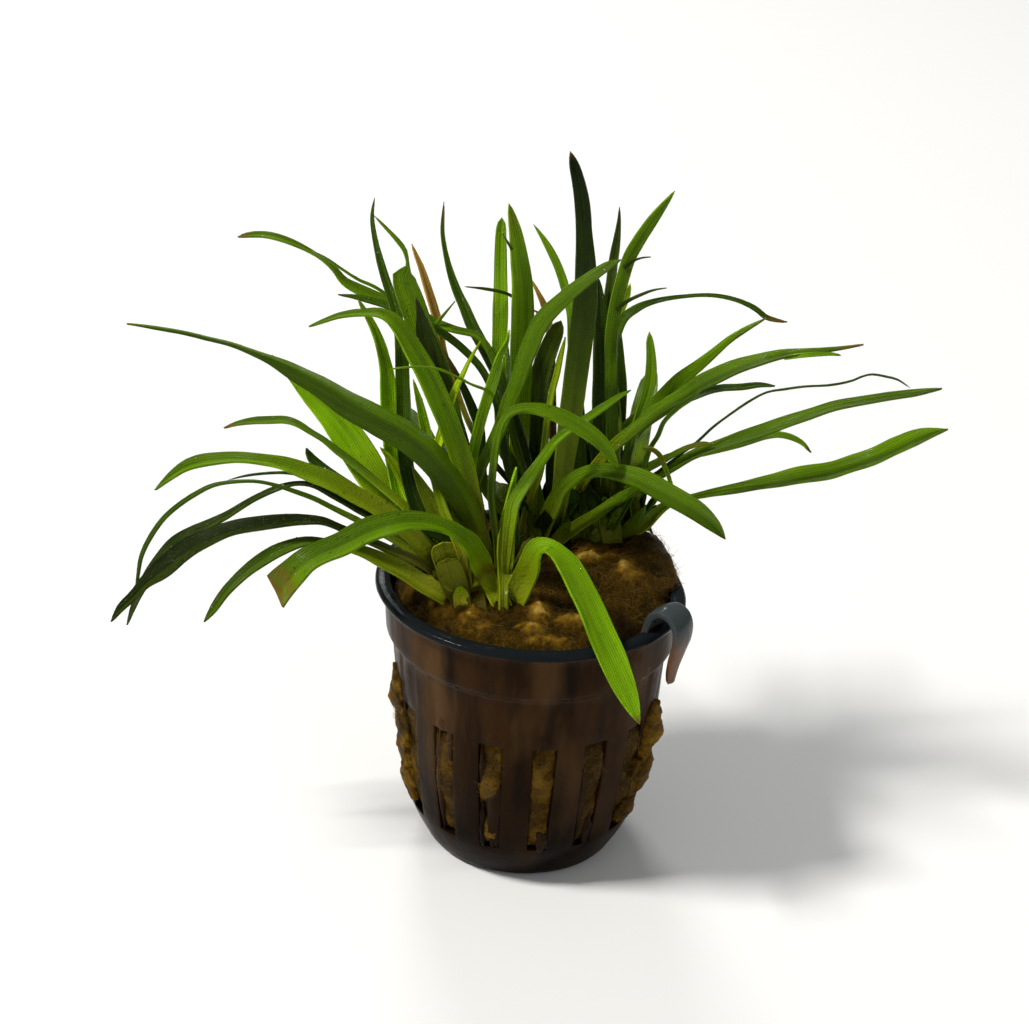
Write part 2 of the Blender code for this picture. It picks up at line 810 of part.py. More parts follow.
def from_view(column, row, depth):
    """The point that a reading shows, at a depth behind the pot's axis."""
    away, right, up = view_axes()
    ray = away + right * (column - VIEW_COLUMNS / 2) / VIEW_LENS
    ray = ray - up * (row - VIEW_ROWS / 2) / VIEW_LENS
    return VIEW_EYE + ray * (depth - VIEW_EYE[1]) / ray[1]


def in_view(points):
    """The (column, row) at which points are seen."""
    away, right, up = view_axes()
    offset = points - VIEW_EYE
    distance = offset @ away
    columns = VIEW_COLUMNS / 2 + VIEW_LENS * (offset @ right) / distance
    rows = VIEW_ROWS / 2 - VIEW_LENS * (offset @ up) / distance
    return np.stack([columns, rows], axis=-1)


def run_length(line):
    """How far along a line each of its points lies."""
    return np.concatenate([[0.0], np.cumsum(np.linalg.norm(np.diff(line, axis=0), axis=1))])


def smooth_curve(points, count):
    """Evenly spaced points on a smooth curve through given points."""
    knots = np.asarray(points, float)
    lengths = np.sqrt(np.linalg.norm(np.diff(knots, axis=0), axis=1))
    times = np.concatenate([[0.0], np.cumsum(lengths)])
    slopes = np.gradient(knots, times, axis=0)
    fine = []
    for index in range(len(knots) - 1):
        span = times[index + 1] - times[index]
        t = np.linspace(0, 1, 24, endpoint=False)[:, None]
        start, end = knots[index], knots[index + 1]
        leave, arrive = slopes[index] * span, slopes[index + 1] * span
        fine.append(
            (2 * t**3 - 3 * t**2 + 1) * start
            + (t**3 - 2 * t**2 + t) * leave
            + (3 * t**2 - 2 * t**3) * end
            + (t**3 - t**2) * arrive
        )
    fine.append(knots[-1:])
    fine = np.concatenate(fine)
    run = run_length(fine)
    even = np.linspace(0, run[-1], count)
    return np.stack([np.interp(even, run, fine[:, axis]) for axis in range(3)], axis=-1)


# A back leaf's arch: where its points lie along its reach, and its rise at a share of the reach
ARCH_SHARES = (0.2, 0.45, 0.72, 1.0)
ARCH_START_SHARE = 0.6  # of the crown's radius
ARCH_CLIMB = 2.6
ARCH_DROOP = 1.6


def back_points(leaf, crown):
    """The points of a back leaf's arch."""
    start = crown.radius * ARCH_START_SHARE
    points = []
    for share in ARCH_SHARES:
        rise = leaf.rise * (ARCH_CLIMB * share - ARCH_DROOP * share * share)
        place = on_circle(start + leaf.reach * share, leaf.heading, crown_height(crown, start) + rise)
        points.append(place + Vector((crown.x, crown.y, 0)))
    return np.array(points)


def guide_points(leaf):
    """The points that a leaf passes after its seat, at depths that run evenly to the tip."""
    crown = CROWNS[leaf.crown]
    if isinstance(leaf, BackLeaf):
        return back_points(leaf, crown)
    seen = np.array([in_view(np.array([crown.x, crown.y, crown.top])), *leaf.readings], float)
    run = np.cumsum(np.linalg.norm(np.diff(seen, axis=0), axis=1))
    share = run / run[-1]
    depths = crown.y + (leaf.depth - crown.y) * share
    return np.array([from_view(*place, depth) for place, depth in zip(leaf.readings, depths)])


def leaf_lean(leaf, crown):
    """How steeply a leaf leaves its crown, and its heading in degrees."""
    points = guide_points(leaf)
    low = points[0]
    if low[2] > crown.top + HIGH_READING:
        top = np.array([crown.x, crown.y, crown.top])
        low = next((point for point in points if np.linalg.norm(point - top) > FAR_READING), low)
    plan = low[:2] - np.array([crown.x, crown.y])
    steep = math.atan2(low[2] - crown.top, np.linalg.norm(plan))
    return steep, math.degrees(math.atan2(plan[1], plan[0])) % 360


def free_seat(heading, suited, used):
    """The cheapest ring and azimuth that are clear of the seats already used on that ring."""
    best = None
    for radius, taken in used.items():
        spacing = math.degrees(SEAT_SPACING / radius)
        for swing in range(0, 181, SEAT_SWING_STEP):
            for azimuth in (heading + swing, heading - swing):
                near = [abs((azimuth - other + 180) % 360 - 180) for other in taken]
                if near and min(near) < spacing:
                    continue
                cost = swing * SEAT_SWING_COST + abs(radius - suited) * SEAT_RING_COST
                if best is None or cost < best[0]:
                    best = (cost, radius, azimuth)
    return best[1:]


def choose_seats(leaves):
    """Where each leaf of one crown is seated: the steepest inside, each on its own side."""
    crown = CROWNS[leaves[0].crown]
    used = {radius: [] for radius in SEAT_RINGS if radius < crown.radius - SEAT_RING_MARGIN}
    wants = sorted((*leaf_lean(leaf, crown), leaf.name) for leaf in leaves)
    seats = {}
    for index, (_, heading, name) in enumerate(wants):
        suited = (1 - index / len(wants)) * max(used)
        radius, azimuth = free_seat(heading, suited, used)
        used[radius].append(azimuth)
        place = on_circle(radius, azimuth, crown_height(crown, radius) + SEAT_LIFT)
        seats[name] = np.array(place + Vector((crown.x, crown.y, 0)))
    return seats


def ground_height(point):
    """The height of what lies under a point: a crown, the wool or the pot's rim."""
    from_axis = math.hypot(point[0], point[1])
    height = wool_height(point[0], point[1]) if from_axis < RIM_RADIUS - 1 else 0.0
    if COLLAR_RADIUS - 2 < from_axis < RIM_RADIUS + 0.5:
        height = max(height, POT_HEIGHT)
    for crown in CROWNS.values():
        distance = math.hypot(point[0] - crown.x, point[1] - crown.y)
        if distance < crown.radius + 1:
            height = max(height, crown_height(crown, distance))
    return height


def lift_clear(leaf, line):
    """Raises a leaf's middle line where it would touch what lies under it."""
    _, across, _ = leaf_frames(line, leaf)
    raised = line.copy()
    for index, point in enumerate(line):
        share = index / (len(line) - 1)
        half = leaf.width / 2 * width_share(share, leaf.cut_end, leaf.taper)
        least = ground_height(point) + SEAT_LIFT + half * abs(across[index][2])
        raised[index][2] = max(point[2], least)
    return raised


def leaf_line(leaf, seat, count):
    """A leaf's middle line from its seat to its tip."""
    points = guide_points(leaf)
    toward = points[0] - seat
    reach = np.linalg.norm(toward)
    lift = np.array([0, 0, 1.0]) + toward / reach
    first = seat + lift / np.linalg.norm(lift) * min(RISE_REACH, reach * 0.4)
    return smooth_curve([seat, first, *points], count)


def width_share(share, cut_end, taper):
    """How wide a leaf is along its length, as a share of its widest."""
    grow = min(share / LEAF_GROWTH_SHARE, 1.0)
    grow = grow * grow * (3 - 2 * grow)
    base = LEAF_BASE_WIDTH_SHARE + (1 - LEAF_BASE_WIDTH_SHARE) * grow
    if cut_end:
        return base * (1 - CUT_END_NARROWING * share)
    return base * (1 - share**taper) ** TIP_ROUNDING


def leaf_frames(line, leaf):
    """The direction of run, the direction across and the upper side's direction at each point."""
    ahead = np.gradient(line, axis=0)
    ahead /= np.linalg.norm(ahead, axis=1)[:, None]
    plan = line[-1] - line[0]
    plan[2] = 0
    plan /= np.linalg.norm(plan)
    level = np.array([-plan[1], plan[0], 0.0])
    across = level - ahead * (ahead @ level)[:, None]
    across /= np.linalg.norm(across, axis=1)[:, None]
    upper = np.cross(ahead, across)
    low, high = leaf.face
    share = np.linspace(0, 1, len(line))
    turn = np.radians(low + (high - low) * share) * (1 if level[1] > 0 else -1)
    turned = across * np.cos(turn)[:, None] + upper * np.sin(turn)[:, None]
    return ahead, turned, np.cross(ahead, turned)


def half_widths(leaf, count):
    """Half a leaf's width at evenly spaced points from its base to its end."""
    shares = np.linspace(0, 1, count)
    return np.array([leaf.width / 2 * width_share(share, leaf.cut_end, leaf.taper) for share in shares])


def close_pairs(leaves, lines, halves, clearance):
    """The pairs of places where two leaves come closer than a clearance.

    Each pair is two (leaf number, point number, place) and the distance between the places.
    """
    places = []
    for number, leaf in enumerate(leaves):
        line = lines[leaf.name]
        _, across, upper = leaf_frames(line, leaf)
        for index, half in enumerate(halves[leaf.name]):
            for side in (-1.0, -0.5, 0.0, 0.5, 1.0):
                lift = abs(side) * half * leaf.fold
                place = line[index] + across[index] * side * half + upper[index] * lift
                places.append((number, index, place))
    tree = KDTree(len(places))
    for key, (_, _, place) in enumerate(places):
        tree.insert(place, key)
    tree.balance()
    pairs = []
    for first in places:
        for _, key, distance in tree.find_range(first[2], clearance):
            if places[key][0] > first[0]:
                pairs.append((first, places[key], distance))
    return pairs


def smoothed(values, reach):
    """Values averaged with their neighbours within a reach."""
    weights = np.hanning(2 * reach + 1)
    return np.convolve(np.pad(values, reach, mode="edge"), weights / weights.sum(), "valid")


def settle(leaves, lines):
    """Moves leaves that meet apart along the view's rays, so that each stays where it is seen."""
    halves = {leaf.name: half_widths(leaf, LINE_POINTS) for leaf in leaves}
    hold = {}
    for name, line in lines.items():
        hold[name] = np.clip((run_length(line) - HOLD_START) / HOLD_RAMP, 0, 1)
    offsets = {leaf.name: np.zeros(LINE_POINTS) for leaf in leaves}
    order = {}
    for _ in range(SETTLE_ROUNDS):
        now = {name: moved(line, offsets[name]) for name, line in lines.items()}
        pairs = close_pairs(leaves, now, halves, LEAF_CLEARANCE)
        if not pairs:
            break
        pushes = {leaf.name: np.zeros(LINE_POINTS) for leaf in leaves}
        for (number, index, place), (other, other_index, other_place), distance in pairs:
            if (number, other) not in order:
                order[number, other] = 1 if place[1] > other_place[1] else -1
            push = (LEAF_CLEARANCE - distance) * 0.5 * order[number, other]
            first, second = leaves[number].name, leaves[other].name
            if abs(push) > abs(pushes[first][index]):
                pushes[first][index] = push
            if abs(push) > abs(pushes[second][other_index]):
                pushes[second][other_index] = -push
        for leaf in leaves:
            spread = smoothed(pushes[leaf.name], 4)
            offsets[leaf.name] += spread * hold[leaf.name]
            offsets[leaf.name] = smoothed(offsets[leaf.name], 3) * np.clip(hold[leaf.name] * 6, 0, 1)
    return {name: moved(line, offsets[name]) for name, line in lines.items()}


def narrow(leaves, lines):
    """Each leaf's half widths, made less where it would still meet another leaf."""
    full = {leaf.name: half_widths(leaf, LINE_POINTS) for leaf in leaves}
    shares = {leaf.name: np.ones(LINE_POINTS) for leaf in leaves}
    for _ in range(NARROW_ROUNDS):
        halves = {name: full[name] * shares[name] for name in full}
        pairs = close_pairs(leaves, lines, halves, NARROW_CLEARANCE)
        if not pairs:
            break
        for first, second, _ in pairs:
            for number, index, _ in (first, second):
                low = max(index - NARROW_REACH, 0)
                shares[leaves[number].name][low : index + NARROW_REACH + 1] *= NARROW_STEP
        for name, share in shares.items():
            shares[name] = np.clip(smoothed(share, 2), NARROWEST_SHARE, 1)
    return {name: full[name] * shares[name] for name in full}


def moved(line, offsets):
    """A line with each point moved along its ray from the eye, by an offset in depth."""
    rays = line - VIEW_EYE
    return line + rays / rays[:, 1:2] * offsets[:, None]


def make_leaf(leaf, line, halves, finish):
    """A leaf as a thin folded strap: four-sided rings from its base to a point or a cut end."""
    segments = round(run_length(line)[-1] / LEAF_SEGMENT_LENGTH)
    segments = min(max(segments, LEAF_FEWEST_SEGMENTS), LEAF_MOST_SEGMENTS)
    stations = np.linspace(0, len(line) - 1, segments + 1)
    _, across, upper = leaf_frames(line, leaf)
    shape = bmesh.new()
    rings = []
    for station in stations if leaf.cut_end else stations[:-1]:
        index = int(round(station))
        thick = np.interp(index / (len(line) - 1), (0, 1), (LEAF_THICK_BASE, LEAF_THICK_TIP))
        centre, half = line[index], halves[index]
        side, rise = across[index] * half, upper[index] * half * leaf.fold
        up = upper[index] * thick / 2
        ring = (centre - side + rise, centre - up, centre + side + rise, centre + up)
        rings.append([shape.verts.new(point) for point in ring])
    join_rings(shape, rings)
    shape.faces.new(rings[0])
    if leaf.cut_end:
        shape.faces.new(rings[-1])
    else:
        tip = shape.verts.new(line[-1])
        for index in range(4):
            shape.faces.new((rings[-1][index], rings[-1][(index + 1) % 4], tip))
    return add_object(leaf.name, shape, finish)


def make_leaves():
    """All the leaves, each on its own seat and clear of the others."""
    leaves = [*LEFT_LEAVES, *MIDDLE_LEAVES, *RIGHT_LEAVES, *BACK_LEAVES]
    seats = {}
    for crown in CROWNS:
        seats.update(choose_seats([leaf for leaf in leaves if leaf.crown == crown]))
    lines = {}
    for leaf in leaves:
        lines[leaf.name] = lift_clear(leaf, leaf_line(leaf, seats[leaf.name], LINE_POINTS))
    lines = settle(leaves, lines)
    halves = narrow(leaves, lines)
    for leaf in leaves:
        colour = LEAF_BROWN if "brown" in leaf.name else LEAF_GREEN
        finish = material(leaf.name, colour, LEAF_ROUGHNESS)
        make_leaf(leaf, lines[leaf.name], halves[leaf.name], finish)


def main():
    """Builds the potted plant."""
    clear_scene()
    make_pot()
    make_wool()
    for name, crown in CROWNS.items():
        make_crown(name, crown)
    make_leaves()


main()
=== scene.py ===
"""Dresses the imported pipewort: a grass-like water plant in a slotted net pot full of wet wool.

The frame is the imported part's own: metres, +Z up, the pot standing on z = 0 with its axis on Z,
and the viewer of the reference view on the -Y side. Sizes below are in millimetres unless a
name says otherwise, and MM turns them into metres where a mesh is made.
"""

import logging
import math
from dataclasses import dataclass, field
from enum import Enum
from typing import Any, Callable, Iterable, Sequence

import bmesh
import bpy
import numpy as np
from mathutils import Matrix, Vector, noise
from mathutils.bvhtree import BVHTree


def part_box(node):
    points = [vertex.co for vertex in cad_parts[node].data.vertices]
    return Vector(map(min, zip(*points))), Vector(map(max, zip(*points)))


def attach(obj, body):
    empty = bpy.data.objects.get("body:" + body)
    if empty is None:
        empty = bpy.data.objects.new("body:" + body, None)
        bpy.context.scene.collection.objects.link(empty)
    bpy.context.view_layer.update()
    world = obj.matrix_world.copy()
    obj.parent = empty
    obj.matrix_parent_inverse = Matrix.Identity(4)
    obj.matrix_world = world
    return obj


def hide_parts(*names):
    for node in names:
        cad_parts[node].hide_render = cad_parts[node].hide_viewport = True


MM = 0.001
BODY = "root"

log = logging.getLogger("pipewort")

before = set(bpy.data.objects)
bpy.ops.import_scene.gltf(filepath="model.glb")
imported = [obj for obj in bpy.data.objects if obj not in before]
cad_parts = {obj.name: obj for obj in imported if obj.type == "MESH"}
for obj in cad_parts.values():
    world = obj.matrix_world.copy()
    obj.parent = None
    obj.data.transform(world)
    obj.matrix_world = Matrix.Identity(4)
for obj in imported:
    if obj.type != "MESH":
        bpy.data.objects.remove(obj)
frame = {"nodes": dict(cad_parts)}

Colour = tuple[float, float, float]
Points = np.ndarray
Readings = tuple[tuple[float, float, float], ...]


# Helpers


def deselect_all() -> None:
    """Leaves edit mode and clears the selection."""
    if bpy.context.mode != "OBJECT":
        bpy.ops.object.mode_set(mode="OBJECT")
    bpy.ops.object.select_all(action="DESELECT")


def take_new(name: str) -> bpy.types.Object:
    """Names the primitive that was just added, and its mesh.

    Args:
        name: the piece's name.

    Returns:
        The object, which is active and selected.
    """
    made = bpy.context.object
    made.name = name
    made.data.name = name
    return made


def apply_modifier(piece: bpy.types.Object, kind: str, **settings: Any) -> None:
    """Adds a modifier to a piece and applies it.

    Args:
        piece: the object to change.
        kind: the modifier's type.
        settings: the modifier's own settings.
    """
    deselect_all()
    bpy.context.view_layer.objects.active = piece
    piece.select_set(True)
    modifier = piece.modifiers.new(kind.lower(), kind)
    for key, value in settings.items():
        setattr(modifier, key, value)
    bpy.ops.object.modifier_apply(modifier=modifier.name)


def round_edges(piece: bpy.types.Object, width: float) -> None:
    """Bevels the edges sharper than 50 degrees, by a width in millimetres."""
    sharp = math.radians(50)
    apply_modifier(piece, "BEVEL", width=width * MM, segments=2, limit_method="ANGLE", angle_limit=sharp)


def smooth_shading(piece: bpy.types.Object, degrees: float = 40.0) -> None:
    """Shades a piece smooth, except over edges sharper than an angle.

    Args:
        piece: the object to shade.
        degrees: the sharpest angle that is still smooth.
    """
    deselect_all()
    bpy.context.view_layer.objects.active = piece
    piece.select_set(True)
    bpy.ops.object.shade_smooth_by_angle(angle=math.radians(degrees))


def read_points(mesh: bpy.types.Mesh) -> Points:
    """The places of a mesh's points, in metres.

    Args:
        mesh: the mesh.

    Returns:
        The places, as rows.
    """
    flat = np.empty(len(mesh.vertices) * 3, np.float32)
    mesh.vertices.foreach_get("co", flat)
    return flat.reshape(-1, 3).astype(float)


def place_points(mesh: bpy.types.Mesh, places: Points) -> None:
    """Puts a mesh's points at new places, in metres."""
    mesh.vertices.foreach_set("co", np.ascontiguousarray(places, np.float32).ravel())
    mesh.update()


def add_attribute(mesh: bpy.types.Mesh, name: str, values: Points) -> None:
    """Gives a mesh one number for each point.

    Args:
        mesh: the mesh.
        name: the attribute's name, which a material reads.
        values: one number for each point, in the points' order. A grid primitive's points go row by row.
    """
    made = mesh.attributes.new(name, "FLOAT", "POINT")
    made.data.foreach_set("value", np.ascontiguousarray(values, np.float32).ravel())


def add_grid(name: str, places: Points) -> bpy.types.Object:
    """A sheet of quads from a grid primitive whose points are then placed.

    Args:
        name: the piece's name.
        places: the points in millimetres, as rows by columns by three.

    Returns:
        The sheet.
    """
    rows, columns = places.shape[:2]
    deselect_all()
    bpy.ops.mesh.primitive_grid_add(x_subdivisions=columns - 1, y_subdivisions=rows - 1, size=2)
    sheet = take_new(name)
    flat = read_points(sheet.data)
    column = np.rint((flat[:, 0] + 1) / 2 * (columns - 1)).astype(int)
    row = np.rint((flat[:, 1] + 1) / 2 * (rows - 1)).astype(int)
    place_points(sheet.data, places[row, column] * MM)
    return sheet


def joined_mesh(name: str, points: Points, faces: Points) -> bpy.types.Object:
    """One object from arrays of points in millimetres and of faces with one number of corners.

    Args:
        name: the piece's name.
        points: the points, in millimetres.
        faces: the faces, as rows of point numbers.

    Returns:
        The object, at the origin.
    """
    mesh = bpy.data.meshes.new(name)
    mesh.from_pydata((points * MM).tolist(), [], faces.tolist())
    mesh.update()
    made = bpy.data.objects.new(name, mesh)
    bpy.context.scene.collection.objects.link(made)
    return made


def finish_piece(
    piece: bpy.types.Object, material: bpy.types.Material, slot: str, replaced: Iterable[str] = ()
) -> None:
    """Gives a piece its material and its place in the frame.

    Args:
        piece: the finished object.
        material: its only material.
        slot: the record's material slot that it stands for. Not used.
        replaced: the CAD nodes that it replaces.
    """
    piece.data.materials.clear()
    piece.data.materials.append(material)
    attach(piece, BODY)
    for node in replaced:
        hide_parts(node)
    log.info("%s: %d faces", piece.name, len(piece.data.polygons))


@dataclass(frozen=True)
class Zone:
    """Where fibres or drops may lie: a range of heights, outside a radius and facing up enough.

    On the wool the faces are taken in order of their places, because those of a sphere primitive
    come in another order on each run.
    """

    low: float
    high: float = math.inf
    least_radius: float = 0.0
    least_up: float = -1.0
    by_place: bool = False

    def holds(self, middle: Points, normal: Points) -> bool:
        """Whether a face with this middle, in millimetres, and this normal is in the zone."""
        away = math.hypot(middle[0], middle[1]) >= self.least_radius
        return bool(self.low < middle[2] < self.high and away and normal[2] >= self.least_up)

    def pick(
        self, pieces: Iterable[bpy.types.Object], count: int, random: np.random.Generator
    ) -> list[tuple[Points, Points]]:
        """Picks faces in the zone by chance, the larger ones more often.

        Args:
            pieces: the objects whose faces are picked.
            count: how many to pick.
            random: the generator.

        Returns:
            Each picked face's middle and normal.
        """
        spots = []
        for piece in pieces:
            for face in piece.data.polygons:
                middle, normal = np.array(face.center) / MM, np.array(face.normal)
                if face.area > 0 and self.holds(middle, normal):
                    spots.append((middle, normal, face.area))
        if self.by_place:
            spots.sort(key=lambda spot: tuple(np.round(spot[0], 3)))
        shares = np.array([area for _, _, area in spots])
        picks = random.choice(len(spots), count, p=shares / shares.sum())
        return [spots[pick][:2] for pick in picks]


# Curves


def run_length(line: Points) -> Points:
    """How far along a line each of its points lies."""
    steps = np.linalg.norm(np.diff(line, axis=0), axis=1)
    return np.concatenate([[0.0], np.cumsum(steps)])


def smooth_curve(knots: Points, count: int) -> Points:
    """Evenly spaced points on a smooth curve through given points.

    Args:
        knots: the given points, with any number of values in a row.
        count: how many points to return.

    Returns:
        The points, as rows.
    """
    steps = np.linalg.norm(np.diff(knots[:, :3], axis=0), axis=1)
    times = np.concatenate([[0.0], np.cumsum(np.sqrt(steps))])
    slopes = np.gradient(knots, times, axis=0)
    fine = []
    for index in range(len(knots) - 1):
        span = times[index + 1] - times[index]
        t = np.linspace(0, 1, 20, endpoint=False)[:, None]
        fine.append(
            (2 * t**3 - 3 * t**2 + 1) * knots[index]
            + (t**3 - 2 * t**2 + t) * slopes[index] * span
            + (3 * t**2 - 2 * t**3) * knots[index + 1]
            + (t**3 - t**2) * slopes[index + 1] * span
        )
    fine.append(knots[-1:])
    curve = np.concatenate(fine)
    run = run_length(curve[:, :3])
    even = np.linspace(0, run[-1], count)
    return np.stack([np.interp(even, run, curve[:, k]) for k in range(curve.shape[1])], axis=-1)


def unit(vectors: Points) -> Points:
    """Vectors made one long, in rows or alone."""
    return vectors / np.linalg.norm(vectors, axis=-1, keepdims=True)


def ease(value: Points) -> Points:
    """A smooth step from 0 to 1, held at both ends."""
    held = np.clip(value, 0.0, 1.0)
    return held * held * (3 - 2 * held)


def rough(place: Sequence[float], scale: float, seed: float = 0.0) -> float:
    """Soft noise from -1 to 1 at a place in millimetres.

    Args:
        place: the point.
        scale: the size of the noise's lumps, in millimetres.
        seed: moves the pattern, so that two uses differ.

    Returns:
        The noise's value.
    """
    return noise.noise(Vector(place) / scale + Vector((seed, -seed, 2 * seed)))


# Materials


class Shader:
    """A Principled material, built node by node."""

    def __init__(self, name: str, **sockets: Any) -> None:
        """Starts a material.

        Args:
            name: the material's name.
            sockets: constant values of the Principled shader's sockets, with _ for a space.
        """
        self.material = bpy.data.materials.new(name)
        self.material.use_nodes = True
        self.tree = self.material.node_tree
        self.surface = self.tree.nodes["Principled BSDF"]
        for key, value in sockets.items():
            self.surface.inputs[key.replace("_", " ")].default_value = value

    def node(self, kind: str, inputs: dict[Any, Any] | None = None, **settings: Any) -> bpy.types.Node:
        """Adds a node.

        Args:
            kind: the node's type, without its ShaderNode start.
            inputs: socket names or numbers, with a value or another node's output for each.
            settings: the node's own settings.

        Returns:
            The node.
        """
        made = self.tree.nodes.new("ShaderNode" + kind)
        for key, value in settings.items():
            setattr(made, key, value)
        for key, value in (inputs or {}).items():
            self.feed(made.inputs[key], value)
        return made

    def feed(self, socket: bpy.types.NodeSocket, value: Any) -> None:
        """Links an output to a socket, or sets the socket's value.

        Args:
            socket: the input that is fed.
            value: another node's output, or a constant.
        """
        if isinstance(value, bpy.types.NodeSocket):
            self.tree.links.new(value, socket)
        else:
            socket.default_value = value

    def place(self) -> bpy.types.NodeSocket:
        """Object coordinates."""
        return self.node("TexCoord").outputs["Object"]

    def attribute(self, name: str) -> bpy.types.NodeSocket:
        """A number that each point of the mesh holds."""
        return self.node("Attribute", attribute_name=name).outputs["Fac"]

    def noise(
        self, scale: float, detail: float = 4.0, vector: Any = None, roughness: float = 0.5
    ) -> bpy.types.NodeSocket:
        """Noise from 0 to 1.

        Args:
            scale: how many lumps to a metre.
            detail: how many finer layers it has.
            vector: the coordinates, or None for Object coordinates.
            roughness: how strong the finer layers are.

        Returns:
            The noise's output.
        """
        at = vector if vector is not None else self.place()
        inputs = {"Vector": at, "Scale": scale, "Detail": detail, "Roughness": roughness}
        return self.node("TexNoise", inputs).outputs["Fac"]

    def ramp(self, value: Any, stops: Sequence[tuple[float, Any]]) -> bpy.types.NodeSocket:
        """A colour or grey looked up along a value.

        Args:
            value: the output that is looked up.
            stops: positions, each with a colour or a grey.

        Returns:
            The colour's output.
        """
        made = self.node("ValToRGB", {"Fac": value})
        elements = made.color_ramp.elements
        while len(elements) < len(stops):
            elements.new(0.5)
        for element, (position, colour) in zip(elements, stops):
            element.position = position
            grey = isinstance(colour, (int, float))
            element.color = (colour, colour, colour, 1) if grey else (*colour, 1)
        return made.outputs["Color"]

    def mix(self, factor: Any, first: Any, second: Any, blend: str = "MIX") -> bpy.types.NodeSocket:
        """Two colours mixed.

        Args:
            factor: a number or an output.
            first: a colour or an output.
            second: a colour or an output.
            blend: how the second goes over the first.

        Returns:
            The colour's output.
        """
        made = self.node("Mix", data_type="RGBA", blend_type=blend)
        self.feed(made.inputs[0], factor)
        for socket, value in ((made.inputs[6], first), (made.inputs[7], second)):
            self.feed(socket, (*value, 1) if isinstance(value, tuple) and len(value) == 3 else value)
        return made.outputs[2]

    def math(
        self, operation: str, first: Any, second: Any = 0.0, clamp: bool = False
    ) -> bpy.types.NodeSocket:
        """A sum on one or two numbers.

        Args:
            operation: the name of the operation.
            first: a number or an output.
            second: a number or an output.
            clamp: whether the result is held from 0 to 1.

        Returns:
            The result's output.
        """
        made = self.node("Math", {0: first, 1: second}, operation=operation, use_clamp=clamp)
        return made.outputs[0]

    def times(self, first: Any, second: Any) -> bpy.types.NodeSocket:
        """The product of two numbers or outputs."""
        return self.math("MULTIPLY", first, second)

    def plus(self, first: Any, second: Any) -> bpy.types.NodeSocket:
        """The sum of two numbers or outputs."""
        return self.math("ADD", first, second)

    def grey(self, value: Any) -> bpy.types.NodeSocket:
        """A colour whose three parts are one value."""
        return self.node("CombineXYZ", {0: value, 1: value, 2: value}).outputs[0]

    def spread(
        self, value: Any, low: float, high: float, to_low: float = 0.0, to_high: float = 1.0
    ) -> bpy.types.NodeSocket:
        """A value moved from one range to another, and held there."""
        made = self.node("MapRange", {0: value, 1: low, 2: high, 3: to_low, 4: to_high})
        return made.outputs[0]

    def stretched(self, scale: Sequence[float]) -> bpy.types.NodeSocket:
        """Object coordinates with each axis scaled."""
        return self.node("Mapping", {"Vector": self.place(), "Scale": scale}).outputs[0]

    def bump(self, height: Any, strength: float, distance: float) -> None:
        """Roughens the surface.

        Args:
            height: the output that is read as a height.
            strength: from 0 to 1.
            distance: the height's size, in metres.
        """
        made = self.node("Bump", {"Height": height, "Strength": strength, "Distance": distance})
        for socket in ("Normal", "Coat Normal"):
            self.feed(self.surface.inputs[socket], made.outputs[0])

    def colour(self, value: Any) -> None:
        """Sets or links the base colour."""
        self.feed(self.surface.inputs["Base Color"], value)

    def roughness(self, value: Any) -> None:
        """Sets or links the roughness."""
        self.feed(self.surface.inputs["Roughness"], value)


